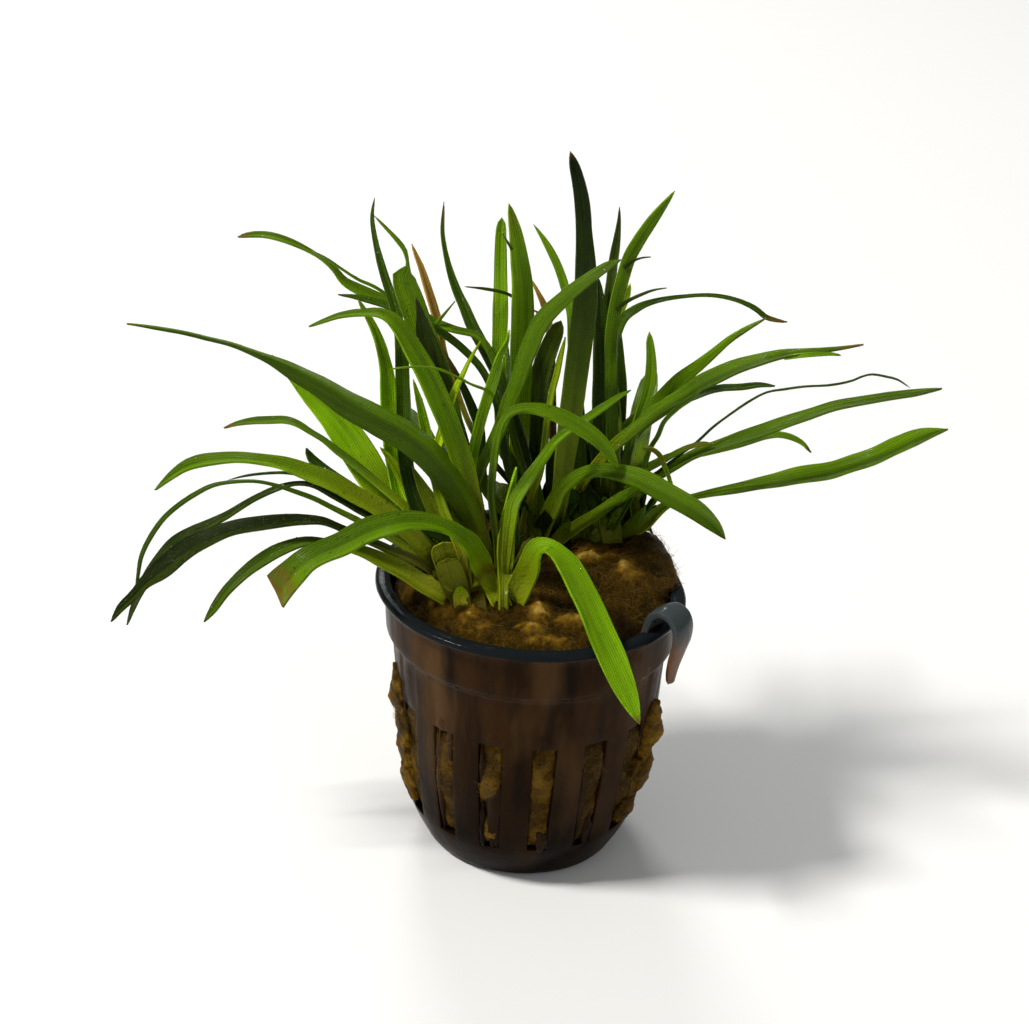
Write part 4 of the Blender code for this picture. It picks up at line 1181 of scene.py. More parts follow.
@dataclass
class WoolPlug:
    """The wet wool: a plug that swells out of the slots and stands in lumps over the rim."""

    pot: NetPot
    low_top: float = 48.4
    segments: int = 384
    side_rows: int = 84
    top_rows: int = 84
    bulge: float = 2.4
    seed: int = 11
    finish: WoolFinish = field(default_factory=WoolFinish)

    # Lumps of the top: middle x, middle y, height, spread along X and along Y
    LUMPS = (
        (1.0, -4.0, 2.6, 15.0, 9.0), (2.0, 13.0, 3.4, 12.0, 8.0), (13.0, 12.0, 3.6, 8.0, 9.0),
        (22.0, 7.5, 7.4, 5.0, 9.5), (-9.0, -5.5, 1.4, 8.0, 8.0), (12.0, -2.0, 2.0, 5.0, 5.0),
        (7.0, -16.0, 1.6, 6.0, 4.0), (-6.0, -19.0, 0.9, 5.0, 3.0), (-17.5, -6.0, 1.3, 4.5, 6.0),
        (-17.0, 6.0, 1.4, 6.0, 8.0),
    )
    # The crests' gold holds painted light on the lumps as well as the wool's own gold
    # Golden crests on the lumps: middle x, middle y, height, spread along X and along Y, how golden
    CRESTS = (
        (9.5, 3.6, 1.5, 3.2, 2.0, 1.0), (15.2, 1.0, 1.5, 1.7, 3.0, 1.0), (-0.8, -18.0, 1.1, 2.4, 1.6, 0.95),
        (2.4, -20.6, 0.8, 3.8, 1.3, 0.8), (7.3, -15.6, 0.9, 3.8, 1.5, 0.6),
        (-2.0, 13.7, 0.8, 2.0, 2.0, 0.9), (-15.0, -12.0, 0.8, 3.0, 3.0, 0.8),
        (-17.4, -6.0, 0.7, 2.8, 3.6, 0.8), (-10.0, -15.0, 0.6, 1.8, 2.4, 0.6),
        (-0.5, -9.5, 0.7, 1.4, 2.2, 0.8), (1.4, -13.2, 0.8, 1.5, 2.4, 0.85),
        (-8.0, -18.0, 0.7, 3.4, 2.2, 0.75), (-4.0, 20.0, 0.8, 5.0, 1.8, 0.5),
        (-19.0, 9.0, 0.7, 2.0, 4.0, 0.4),
    )
    # The inside of the pot, from the floor up: radius and height
    INNER_LINE = (
        (13.0, 1.6), (17.6, 5.2), (19.2, 8.3), (20.1, 14.5), (21.0, 22.0), (21.6, 30.0), (22.4, 40.2),
        (23.5, 42.5), (23.8, 46.8),
    )
    # How the edge of the tall part leans over the rim, from the wall inwards: share of the edge
    # strip, millimetres outwards, share of the height above the rim
    LEAN = (
        (0.0, 0.0, -0.5), (0.06, 0.2, 0.0), (0.13, 2.6, 0.02), (0.2, 3.8, 0.22), (0.32, 3.9, 0.58),
        (0.45, 3.0, 0.84), (0.65, 1.1, 0.98), (1.0, 0.0, 1.0),
    )
    # How golden the wool is in each slot, from the one at the pot's first slot on
    SLOT_GOLD = (0.40, 0.30, 0.3, 0.4, 0.3, 0.42, 0.25, 0.4, 0.35, 0.25, 0.45, 0.35, 0.5, 0.48, 0.36, 0.5)
    # Where the wool spills over the rim: the height from which it does and the rise over which it
    # comes to do so, the azimuth and its spread, and the share of the radius that leans outwards
    SPILL_START = 49.8
    SPILL_RISE = 2.4
    SPILL_AZIMUTH = 22.0
    SPILL_SPREAD = 38.0
    EDGE_STRIP = 0.3
    # The size of the small clumps of golden fibre on the crests
    CLUMP = 1.1

    def top_height(self, x: float, y: float) -> tuple[float, float]:
        """How high the wool's top lies without its small lumps, and how golden it is there.

        Args:
            x: the place along X.
            y: the place along Y.

        Returns:
            The height, and the gold from 0 to 1.
        """
        height = self.low_top
        for lump_x, lump_y, rise, spread_x, spread_y in self.LUMPS:
            height += rise * math.exp(-(((x - lump_x) / spread_x) ** 2) - ((y - lump_y) / spread_y) ** 2)
        gold = 0.0
        for lump_x, lump_y, rise, spread_x, spread_y, golden in self.CRESTS:
            near = math.exp(-(((x - lump_x) / spread_x) ** 2) - ((y - lump_y) / spread_y) ** 2)
            height += rise * near
            gold = max(gold, golden * near)
        return height, gold

    def lump(self, *place: float) -> float:
        """The wool's small lumps and pits.

        Args:
            place: the point's x, y and z.

        Returns:
            How far the surface stands out, in millimetres.
        """
        big = rough(place, 4.6, 1.7)
        folds = 1 - 2 * abs(rough(place, 3.2, 5.2))
        small = rough(place, 1.2, 7.9)
        return 0.95 * big + 0.42 * folds + 0.26 * small

    def side_point(self, share: float, azimuth: float, swells: Points) -> tuple[Points, float]:
        """A point of the plug's side.

        Args:
            share: how far up the side it lies, from 0 to 1.
            azimuth: its azimuth in degrees.
            swells: how far the wool swells out of each slot.

        Returns:
            The point, and how much of a crest it is.
        """
        line = np.array(self.INNER_LINE)
        height = line[0, 1] + (line[-1, 1] - line[0, 1]) * share
        radius = float(np.interp(height, line[:, 1], line[:, 0]))
        pitch = 360 / self.pot.slots
        slot = round((azimuth - self.pot.first_slot) / pitch)
        off = azimuth - self.pot.slot_middle(slot)
        turn = math.radians(azimuth)
        place = (radius * math.cos(turn), radius * math.sin(turn), height)
        middle = (self.pot.slot_top + self.pot.slot_bottom) / 2
        half_height = (self.pot.slot_top - self.pot.slot_bottom) / 2
        across = min(abs(off) / (self.pot.slot_half_arc(height) + 0.6), 1.0)
        upright = min(abs(height - middle) / half_height, 1.0)
        open_share = (1 - across**14) * (1 - upright**12)
        swell = swells[slot % self.pot.slots] * (0.35 + 0.9 * rough(place, 6.5, 9.4))
        out = open_share * (self.pot.wall * 0.8 + swell * (1 - across**2) * (1 - upright**4))
        out += open_share * 0.5 * self.lump(*place)
        radius = self.pot.pressed(radius, azimuth, height) + out
        gold = self.SLOT_GOLD[slot % self.pot.slots]
        crest = gold * (0.74 + 0.5 * rough(place, 3.4, 4.4)) + 0.08 * self.lump(*place)
        return np.array((radius * math.cos(turn), radius * math.sin(turn), height)), crest

    def top_point(self, share: float, azimuth: float) -> tuple[Points, float]:
        """A point of the plug's top.

        Args:
            share: how far from the edge to the middle it lies, from 0 to 1.
            azimuth: its azimuth in degrees.

        Returns:
            The point, and how much of a crest it is: painted light on lumps, painted shade in pits.
        """
        edge = self.pot.pressed(23.7, azimuth, self.pot.height)
        turn = math.radians(azimuth)
        radius = edge * (1 - share)
        height, gold = self.top_height(radius * math.cos(turn), radius * math.sin(turn))
        tall = ease(np.array((height - self.SPILL_START) / self.SPILL_RISE)).item()
        tall *= math.exp(-(((azimuth - self.SPILL_AZIMUTH) / self.SPILL_SPREAD) ** 4))
        strip = min(share / self.EDGE_STRIP, 1.0)
        lean = np.array(self.LEAN)
        out = float(np.interp(strip, lean[:, 0], lean[:, 1]))
        rise = float(np.interp(strip, lean[:, 0], lean[:, 2]))
        over_rim = self.pot.height + 0.2 + (height - self.pot.height - 0.2) * rise
        inside = height - 1.5 * (1 - ease(np.array(strip / 0.35)).item())
        radius += out * tall
        x, y = radius * math.cos(turn), radius * math.sin(turn)
        lump = self.lump(x, y, height)
        calm = 0.5 + 0.5 * ease(np.array(share / 0.1)).item()
        z = inside + (over_rim - inside) * tall + lump * calm * (1 - 0.4 * tall * (1 - strip))
        clump = 0.86 + 0.8 * rough((x, y, z), self.CLUMP, 7.7)
        # Raised lumps are painted lighter and pits darker, painted light and shade, over the golden patches
        return np.array((x, y, z)), 0.10 + 0.20 * lump + gold * (0.75 + 0.3 * lump) * clump

    def build(self) -> bpy.types.Object:
        """Models the plug from a sphere whose rings become the side's and the top's rows.

        Returns:
            The plug.
        """
        random = np.random.default_rng(self.seed)
        swells = random.uniform(0.4, self.bulge, self.pot.slots)
        rings = self.side_rows + self.top_rows
        deselect_all()
        bpy.ops.mesh.primitive_uv_sphere_add(segments=self.segments, ring_count=rings, radius=1)
        plug = take_new("wool_plug")
        flat = read_points(plug.data)
        polar = np.degrees(np.arccos(np.clip(-flat[:, 2], -1, 1)))
        row = np.rint(polar / 180 * rings).astype(int)
        azimuths = np.degrees(np.arctan2(flat[:, 1], flat[:, 0]))
        places = np.zeros_like(flat)
        crest = np.zeros(len(flat))
        floor = self.INNER_LINE[0][1]
        for index in range(len(flat)):
            azimuth = float(azimuths[index])
            if row[index] == 0:
                places[index] = (0, 0, floor)
            elif row[index] <= self.side_rows:
                share = (row[index] - 1) / (self.side_rows - 1)
                places[index], crest[index] = self.side_point(share, azimuth, swells)
            else:
                share = (row[index] - self.side_rows) / self.top_rows
                places[index], crest[index] = self.top_point(min(share, 1.0), azimuth)
        place_points(plug.data, places * MM)
        add_attribute(plug.data, "crest", np.clip(crest, 0, 1))
        smooth_shading(plug, 180)
        finish_piece(plug, self.finish.make(), "wet_wool", ["wool"])
        return plug


@dataclass
class WoolMats:
    """Scraps of wool that hang out of the slots, and flaps of dark film that hang over them."""

    pot: NetPot
    material: bpy.types.Material
    segments: int = 56
    rings: int = 40

    # How far a scrap's edge and its back lie inside the wall's face
    RIND = 0.5
    # Each scrap: azimuth, height, half arc in degrees, half height, how far it stands out, how golden
    SCRAPS = (
        (-163.0, 29.5, 7.0, 4.6, 1.3, 0.55), (-159.0, 21.5, 7.0, 6.5, 1.1, 0.62),
        (-156.0, 13.5, 7.0, 4.0, 1.2, 0.6), (-20.0, 26.5, 8.0, 4.6, 1.9, 0.5),
        (-25.0, 18.5, 9.0, 6.0, 1.7, 0.45), (-31.0, 11.5, 6.0, 3.4, 1.2, 0.42),
        (18.0, 21.0, 8.0, 7.0, 1.6, 0.4), (58.0, 19.0, 8.0, 6.0, 1.8, 0.45),
        (92.0, 14.0, 6.0, 4.0, 1.4, 0.35), (124.0, 25.0, 7.0, 5.0, 1.9, 0.5),
        (165.0, 18.0, 7.0, 6.0, 1.7, 0.45),
    )

    # Each flap of film over a slot: azimuth, height, half its arc, half its height, how far it stands out
    FLAPS = (
        (-101.6, 17.5, 3.0, 11.0, 0.22), (-127.2, 31.2, 2.6, 1.6, 0.2), (-103.2, 31.6, 3.4, 1.5, 0.2),
        (-82.2, 31.4, 2.0, 1.7, 0.2), (-58.0, 31.2, 2.8, 1.6, 0.2), (-106.9, 12.0, 1.6, 6.0, 0.18),
        (-107.2, 24.5, 1.2, 4.2, 0.15), (-128.6, 19.0, 1.7, 11.0, 0.2), (-61.8, 18.0, 1.5, 10.0, 0.2),
        (-56.2, 10.5, 2.6, 4.0, 0.2), (-79.0, 9.6, 3.0, 2.6, 0.2), (-122.5, 27.5, 2.0, 3.4, 0.15),
        (35.0, 18.0, 2.4, 10.0, 0.2), (100.0, 15.0, 2.6, 8.0, 0.2), (168.0, 20.0, 2.2, 9.0, 0.2),
    )

    def scrap(
        self,
        name: str,
        dress: tuple[bpy.types.Material, str],
        azimuth: float,
        height: float,
        half_arc: float,
        half_height: float,
        out: float,
        gold: float = 0.0,
    ) -> None:
        """Models one scrap from a sphere that is laid on the wall and made ragged.

        Args:
            name: the piece's name.
            dress: its material and the slot that this stands for.
            azimuth: where its middle is, in degrees.
            height: its middle's height.
            half_arc: half its arc, in degrees.
            half_height: half its height.
            out: how far it stands out from the wall.
            gold: how golden it is.
        """
        deselect_all()
        bpy.ops.mesh.primitive_uv_sphere_add(segments=self.segments, ring_count=self.rings, radius=1)
        scrap = take_new(name)
        flat = read_points(scrap.data)
        places = np.zeros_like(flat)
        crest = np.zeros(len(flat))
        for index, (deep, side, up) in enumerate(flat):
            way = (side * 3 + azimuth, up * 3 + height, deep)
            ragged = 1 + 0.34 * rough(way, 1.5, 2.2) + 0.2 * rough(way, 0.6, 6.1)
            z = height + up * half_height * ragged
            turn_degrees = azimuth + side * half_arc * ragged
            wall = float(np.interp(z, WALL_HEIGHTS, WALL_RADII))
            turn = math.radians(turn_degrees)
            place = (wall * math.cos(turn), wall * math.sin(turn), z)
            lump = 0.8 * rough(place, 2.8, 3.3) + 0.35 * rough(place, 0.9, 5.5)
            swell = max(deep, 0) ** 0.7 * (1 + 0.5 * lump)
            radius = wall - self.RIND + (out + self.RIND) * swell + min(deep, 0) * self.RIND
            places[index] = (radius * math.cos(turn), radius * math.sin(turn), z)
            crest[index] = gold * (0.8 + 0.6 * lump)
        place_points(scrap.data, places * MM)
        add_attribute(scrap.data, "crest", np.clip(crest, 0, 1))
        smooth_shading(scrap, 180)
        finish_piece(scrap, *dress)

    def build(self) -> None:
        """Models every scrap, and the flaps of dark film that hang over some slots."""
        for number, scrap in enumerate(self.SCRAPS):
            self.scrap(f"wool_scrap_{number:02d}", (self.material, "wet_wool"), *scrap)
        for number, flap in enumerate(self.FLAPS):
            self.scrap(f"film_flap_{number:02d}", (self.pot.material, "pot_plastic"), *flap)


@dataclass
class LooseFibres:
    """Fibres that lie on the wool and stick out of it, joined into one mesh for each kind."""

    finish: FibreFinish
    count: int
    shortest: float
    longest: float
    thick: float
    lift: float
    seed: int
    joints: int = 4

    def strand_points(self, random: np.random.Generator, start: Points, normal: Points) -> Points:
        """A curved strand.

        Args:
            random: the generator.
            start: where the strand begins.
            normal: the surface's direction out.

        Returns:
            The strand's points.
        """
        side = unit(np.cross(normal, random.normal(size=3)))
        other = np.cross(normal, side)
        length = random.uniform(self.shortest, self.longest)
        curl = random.normal() * 0.7
        lift = abs(random.normal()) * self.lift
        share = np.linspace(0, 1, self.joints)[:, None]
        way = side * share * length + other * (curl * share**2 * length * 0.5)
        return start + way + normal * (lift * np.sin(share * math.pi * 0.8) - 0.12)

    def build(self, name: str, plug: bpy.types.Object, zone: Zone) -> None:
        """Grows the fibres on the plug.

        Args:
            name: the piece's name.
            plug: the wool.
            zone: where they may grow.
        """
        random = np.random.default_rng(self.seed)
        points = []
        quads = []
        for middle, normal in zone.pick([plug], self.count, random):
            strand = self.strand_points(random, middle, normal)
            ahead = unit(np.gradient(strand, axis=0))
            side = unit(np.cross(ahead, normal + 0.01))
            up = np.cross(side, ahead)
            first = len(points)
            for joint in range(self.joints):
                width = self.thick * (1 - 0.75 * joint / (self.joints - 1))
                for corner in range(3):
                    turn = 2 * math.pi * corner / 3
                    away = side[joint] * math.cos(turn) + up[joint] * math.sin(turn)
                    points.append(strand[joint] + width * away)
            for joint in range(self.joints - 1):
                for corner in range(3):
                    a = first + joint * 3 + corner
                    b = first + joint * 3 + (corner + 1) % 3
                    quads.append((a, b, b + 3, a + 3))
        fibres = joined_mesh(name, np.array(points), np.array(quads))
        fibres.data.shade_smooth()
        finish_piece(fibres, self.finish.make(), "wet_wool")


# The leaves


@dataclass(frozen=True)
class StrapFrame:
    """A leaf's middle line with its directions and its half width at each point."""

    line: Points
    across: Points
    upper: Points
    half: Points
    cut_end: bool
    hidden: float = 0.0

    def length(self) -> float:
        """The leaf's length in millimetres."""
        return float(run_length(self.line)[-1])


@dataclass(frozen=True)
class Look:
    """How one leaf looks, and where its visible part shows in the reference picture.

    The readings run from the base to the tip, each a column, a row and a width in picture points.

    Attributes:
        tone: its finish.
        readings: where it shows, or nothing where it keeps to the CAD leaf.
        pale: how far its base stays pale, in millimetres.
        withered: how far its tip is withered, in millimetres.
        wither_depth: how brown the tip is, from 0 to 1.
        shade: how light the whole leaf is, its own tone together with painted light and painted shade.
        shades: how light its base, its middle and its tip are beside that, also painted light and shade.
        shaded_half: painted shade on one half, from -1 to 1. The sign says which half.
        fold: how much it is folded along its middle, from 0 to 1.
        channel: how deep its channel is beside that of other leaves.
        tilt: how far it is turned about its line, in degrees.
        shows_back: whether the viewer sees its lower side.
        nearer: how far it is brought towards the viewer, in millimetres.
        stains: brown bands, each a share of the length and a size in millimetres.
    """

    tone: LeafTone
    readings: Readings = ()
    pale: float = 14.0
    withered: float = 0.0
    wither_depth: float = 1.0
    shade: float = 1.0
    shades: tuple[float, float, float] = (1.0, 1.0, 1.0)
    shaded_half: float = 0.0
    fold: float = 0.0
    channel: float = 1.0
    tilt: float = 0.0
    shows_back: bool = False
    nearer: float = 0.0
    stains: tuple[tuple[float, float], ...] = ()


def merged_copy(node: bpy.types.Object) -> bmesh.types.BMesh:
    """A CAD node's mesh with its loose triangles joined, as a copy.

    Args:
        node: the CAD node.

    Returns:
        The copy, which the caller frees.
    """
    shape = bmesh.new()
    shape.from_mesh(node.data)
    bmesh.ops.remove_doubles(shape, verts=shape.verts, dist=1e-6)
    return shape


def layers_from(starts: Iterable[bmesh.types.BMVert]) -> list[list[bmesh.types.BMVert]]:
    """The points of a mesh in layers, by how many edges they are from the given ones.

    Args:
        starts: the first layer.

    Returns:
        The layers, from the first to the farthest.
    """
    layer = list(starts)
    seen = set(layer)
    layers = [layer]
    while layer:
        found = []
        for vert in layer:
            for edge in vert.link_edges:
                other = edge.other_vert(vert)
                if other not in seen:
                    seen.add(other)
                    found.append(other)
        layer = found
        if layer:
            layers.append(layer)
    return layers


def read_strap(node: bpy.types.Object, crowns: Sequence[Points]) -> StrapFrame:
    """Finds a CAD leaf's rings again, from its tip or cut end to its base.

    Args:
        node: the CAD leaf.
        crowns: the tops of the rootstocks, in millimetres.

    Returns:
        The leaf's frame from its base to its end.
    """
    shape = merged_copy(node)
    shape.verts.ensure_lookup_table()
    points = {vert: np.array(vert.co) / MM for vert in shape.verts}
    seat = min(points, key=lambda v: min(np.linalg.norm(points[v] - crown) for crown in crowns))
    far = layers_from([seat])[-1]
    tip = max(far, key=lambda v: np.linalg.norm(points[v] - points[seat]))
    shortest = min(edge.calc_length() / MM for edge in tip.link_edges)
    cut_end = shortest < 1.0 or len(far) > 1 and len(tip.link_edges) != 4
    if cut_end:
        nearest = sorted(points, key=lambda v: np.linalg.norm(points[v] - points[tip]))
        layers = layers_from(nearest[:4])
    else:
        layers = layers_from([tip])[1:]
    rings = [[points[vert] for vert in layer] for layer in layers if len(layer) == 4]
    end = points[tip]
    shape.free()
    return strap_from_rings(rings[::-1], end, cut_end)


def strap_from_rings(rings: Sequence[Sequence[Points]], end: Points, cut_end: bool) -> StrapFrame:
    """Reads middle, directions and half width from rings of four points.

    Args:
        rings: the rings from the base to the end. Each has two edges, an upper and a lower point.
        end: the leaf's tip.
        cut_end: whether the leaf ends in its last ring instead.

    Returns:
        The leaf's frame.
    """
    line, across, upper, half = [], [], [], []
    for ring in rings:
        ring = np.array(ring)
        pairs = [(0, 1, 2, 3), (0, 2, 1, 3), (0, 3, 1, 2), (1, 2, 0, 3), (1, 3, 0, 2), (2, 3, 0, 1)]
        a, b, c, d = max(pairs, key=lambda p: np.linalg.norm(ring[p[0]] - ring[p[1]]))
        middle = (ring[c] + ring[d]) / 2
        side = (ring[b] - ring[a]) / 2
        if across and side @ across[-1] < 0:
            side = -side
        rise = (ring[a] + ring[b]) / 2 - middle
        thick = ring[c] - ring[d]
        up = thick * (1 if thick @ rise >= 0 else -1)
        up = up - unit(side) * (up @ unit(side))
        line.append(middle)
        across.append(unit(side))
        upper.append(unit(up))
        half.append(np.linalg.norm(side))
    if not cut_end:
        line.append(end)
        across.append(across[-1])
        upper.append(upper[-1])
        half.append(0.0)
    return StrapFrame(np.array(line), np.array(across), np.array(upper), np.array(half), cut_end)


@dataclass
class Tracer:
    """Lays a leaf's visible part where its readings show it, at the CAD leaf's depth."""

    view: ReferenceView
    wool: BVHTree
    clear: float = 0.45
    far: float = 120.0
    least_facing: float = 0.6
    most_turned: float = math.radians(42)
    blunt: float = 7.0
    joint_share: float = 0.06
    rooted_share: float = 0.16

    def half_width(self, point: Points, ahead: Points, across: Points, width: float) -> float:
        """Half of a leaf's real width at a point.

        Args:
            point: the middle line's point.
            ahead: the leaf's direction there.
            across: the direction from edge to edge.
            width: the width that shows, in picture points.

        Returns:
            Half the width in millimetres.
        """
        beside = unit(np.cross(self.view.sight(point), ahead))
        facing = max(abs(float(across @ beside)), self.least_facing)
        return width * self.view.size_at(point) / 2 / facing

    def toward_viewer(self, line: Points) -> tuple[Points, Points]:
        """Directions beside a line in the picture, and out of it towards the viewer.

        Args:
            line: the middle line.

        Returns:
            The two directions at each point.
        """
        ahead = unit(np.gradient(line, axis=0))
        sight = np.array([self.view.sight(point) for point in line])
        beside = unit(np.cross(sight, ahead))
        toward = np.cross(ahead, beside)
        toward *= np.where(np.sum(toward * sight, axis=1, keepdims=True) > 0, -1, 1)
        return beside, toward

    def before_wool(self, seen: Points, depth: Points) -> Points:
        """Brings a blade's base forward where the wool would hide what the picture shows.

        Args:
            seen: the readings, as columns, rows and widths.
            depth: how far behind the pot's axis each one lies.

        Returns:
            The depths with the base clear of the wool.
        """
        shift = np.zeros(len(seen))
        for index, (column, row, _) in enumerate(seen):
            near = Vector(self.view.place_of(column, row, -self.far) * MM)
            ahead = Vector(self.view.place_of(column, row, self.far) * MM) - near
            place = self.wool.ray_cast(near, ahead.normalized())[0]
            if place is not None:
                shift[index] = max(0.0, depth[index] - place.y / MM + self.clear)
            if index:
                shift[index] = max(shift[index], shift[index - 1] * 0.5)
        return depth - shift

    def faced(self, line: Points, across: Points, upper: Points, look: Look) -> tuple[Points, Points]:
        """Turns a blade about its line so that its width shows as it was read.

        Args:
            line: the middle line.
            across: the CAD leaf's directions from edge to edge.
            upper: the CAD leaf's directions out of its upper side.
            look: the leaf's look, with its tilt and the side that it shows.

        Returns:
            The new directions across and up.
        """
        beside, toward = self.toward_viewer(line)
        along = np.sum(across * beside, axis=1)
        deep = np.sum(across * toward, axis=1)
        sign = 1.0 if along.sum() >= 0 else -1.0
        angle = np.clip(np.arctan2(deep * sign, np.abs(along)), -self.most_turned, self.most_turned)
        for _ in range(3):
            angle[1:-1] = (angle[:-2] + 2 * angle[1:-1] + angle[2:]) / 4
        angle[:3] *= (0.1, 0.4, 0.8)
        angle = (angle + math.radians(look.tilt))[:, None]
        new_across = beside * np.cos(angle) + toward * np.sin(angle)
        new_upper = toward * np.cos(angle) - beside * np.sin(angle)
        shows_back = np.sum(new_upper * upper) < 0 or look.shows_back
        return new_across, new_upper * (-1 if shows_back else 1)

    def lay(self, strap: StrapFrame, look: Look) -> StrapFrame:
        """Moves a CAD leaf's line onto its readings, from where they begin to its end.

        Args:
            strap: the CAD leaf's frame.
            look: the leaf's look, whose readings are columns, rows and widths from base to tip.

        Returns:
            The new frame.
        """
        seen = np.array(look.readings, float)
        flat = self.view.reading_of(strap.line)
        run = run_length(flat)
        fine = np.linspace(0, run[-1], 200)
        near = np.stack([np.interp(fine, run, flat[:, k]) for k in range(2)], axis=1)
        start = fine[int(np.argmin(np.linalg.norm(near - seen[0, :2], axis=1)))]
        seen_run = run_length(seen[:, :2])
        at = start + seen_run / seen_run[-1] * (run[-1] - start)
        depth = self.before_wool(seen, np.interp(at, run, strap.line[:, 1])) - look.nearer
        line = np.array([self.view.place_of(c, r, d) for (c, r, _), d in zip(seen, depth)])
        across = unit(np.stack([np.interp(at, run, strap.across[:, k]) for k in range(3)], axis=1))
        upper = unit(np.stack([np.interp(at, run, strap.upper[:, k]) for k in range(3)], axis=1))
        across, upper = self.faced(line, across, upper, look)
        ahead = unit(np.gradient(line, axis=0))
        widths = [self.half_width(*values) for values in zip(line, ahead, across, seen[:, 2])]
        hidden = run < start - self.joint_share * run[-1]
        if start < self.rooted_share * run[-1]:
            hidden[:] = False
        base = strap.line[hidden]
        if len(base):
            offset = line[0] - np.array([np.interp(start, run, strap.line[:, k]) for k in range(3)])
            base = base + offset * (run[hidden] / start)[:, None]
        count = len(base)
        return StrapFrame(
            np.concatenate([base, line]),
            np.concatenate([np.repeat(across[:1], count, axis=0), across]),
            np.concatenate([np.repeat(upper[:1], count, axis=0), upper]),
            np.concatenate([np.full(count, widths[0]), widths]),
            strap.cut_end,
            float(run_length(np.concatenate([base, line[:1]]))[-1]),
        )

    def strap_of(self, sprig: "Sprig") -> StrapFrame:
        """A leaf that has no CAD leaf, from its readings alone.

        Args:
            sprig: the leaf.

        Returns:
            The leaf's frame.
        """
        seen = np.array(sprig.look.readings, float)
        share = run_length(seen[:, :2])
        share /= share[-1]
        depth = sprig.near_depth + (sprig.far_depth - sprig.near_depth) * share
        if sprig.rooted:
            depth = self.before_wool(seen, depth)
        line = np.array([self.view.place_of(c, r, d) for (c, r, _), d in zip(seen, depth)])
        beside, toward = self.toward_viewer(line)
        ahead = unit(np.gradient(line, axis=0))
        angle = math.radians(sprig.turn)
        across = beside * math.cos(angle) + toward * math.sin(angle)
        upper = toward * math.cos(angle) - beside * math.sin(angle)
        widths = [self.half_width(*values) for values in zip(line, ahead, across, seen[:, 2])]
        return StrapFrame(line, across, upper, np.array(widths), seen[-1, 2] > self.blunt)


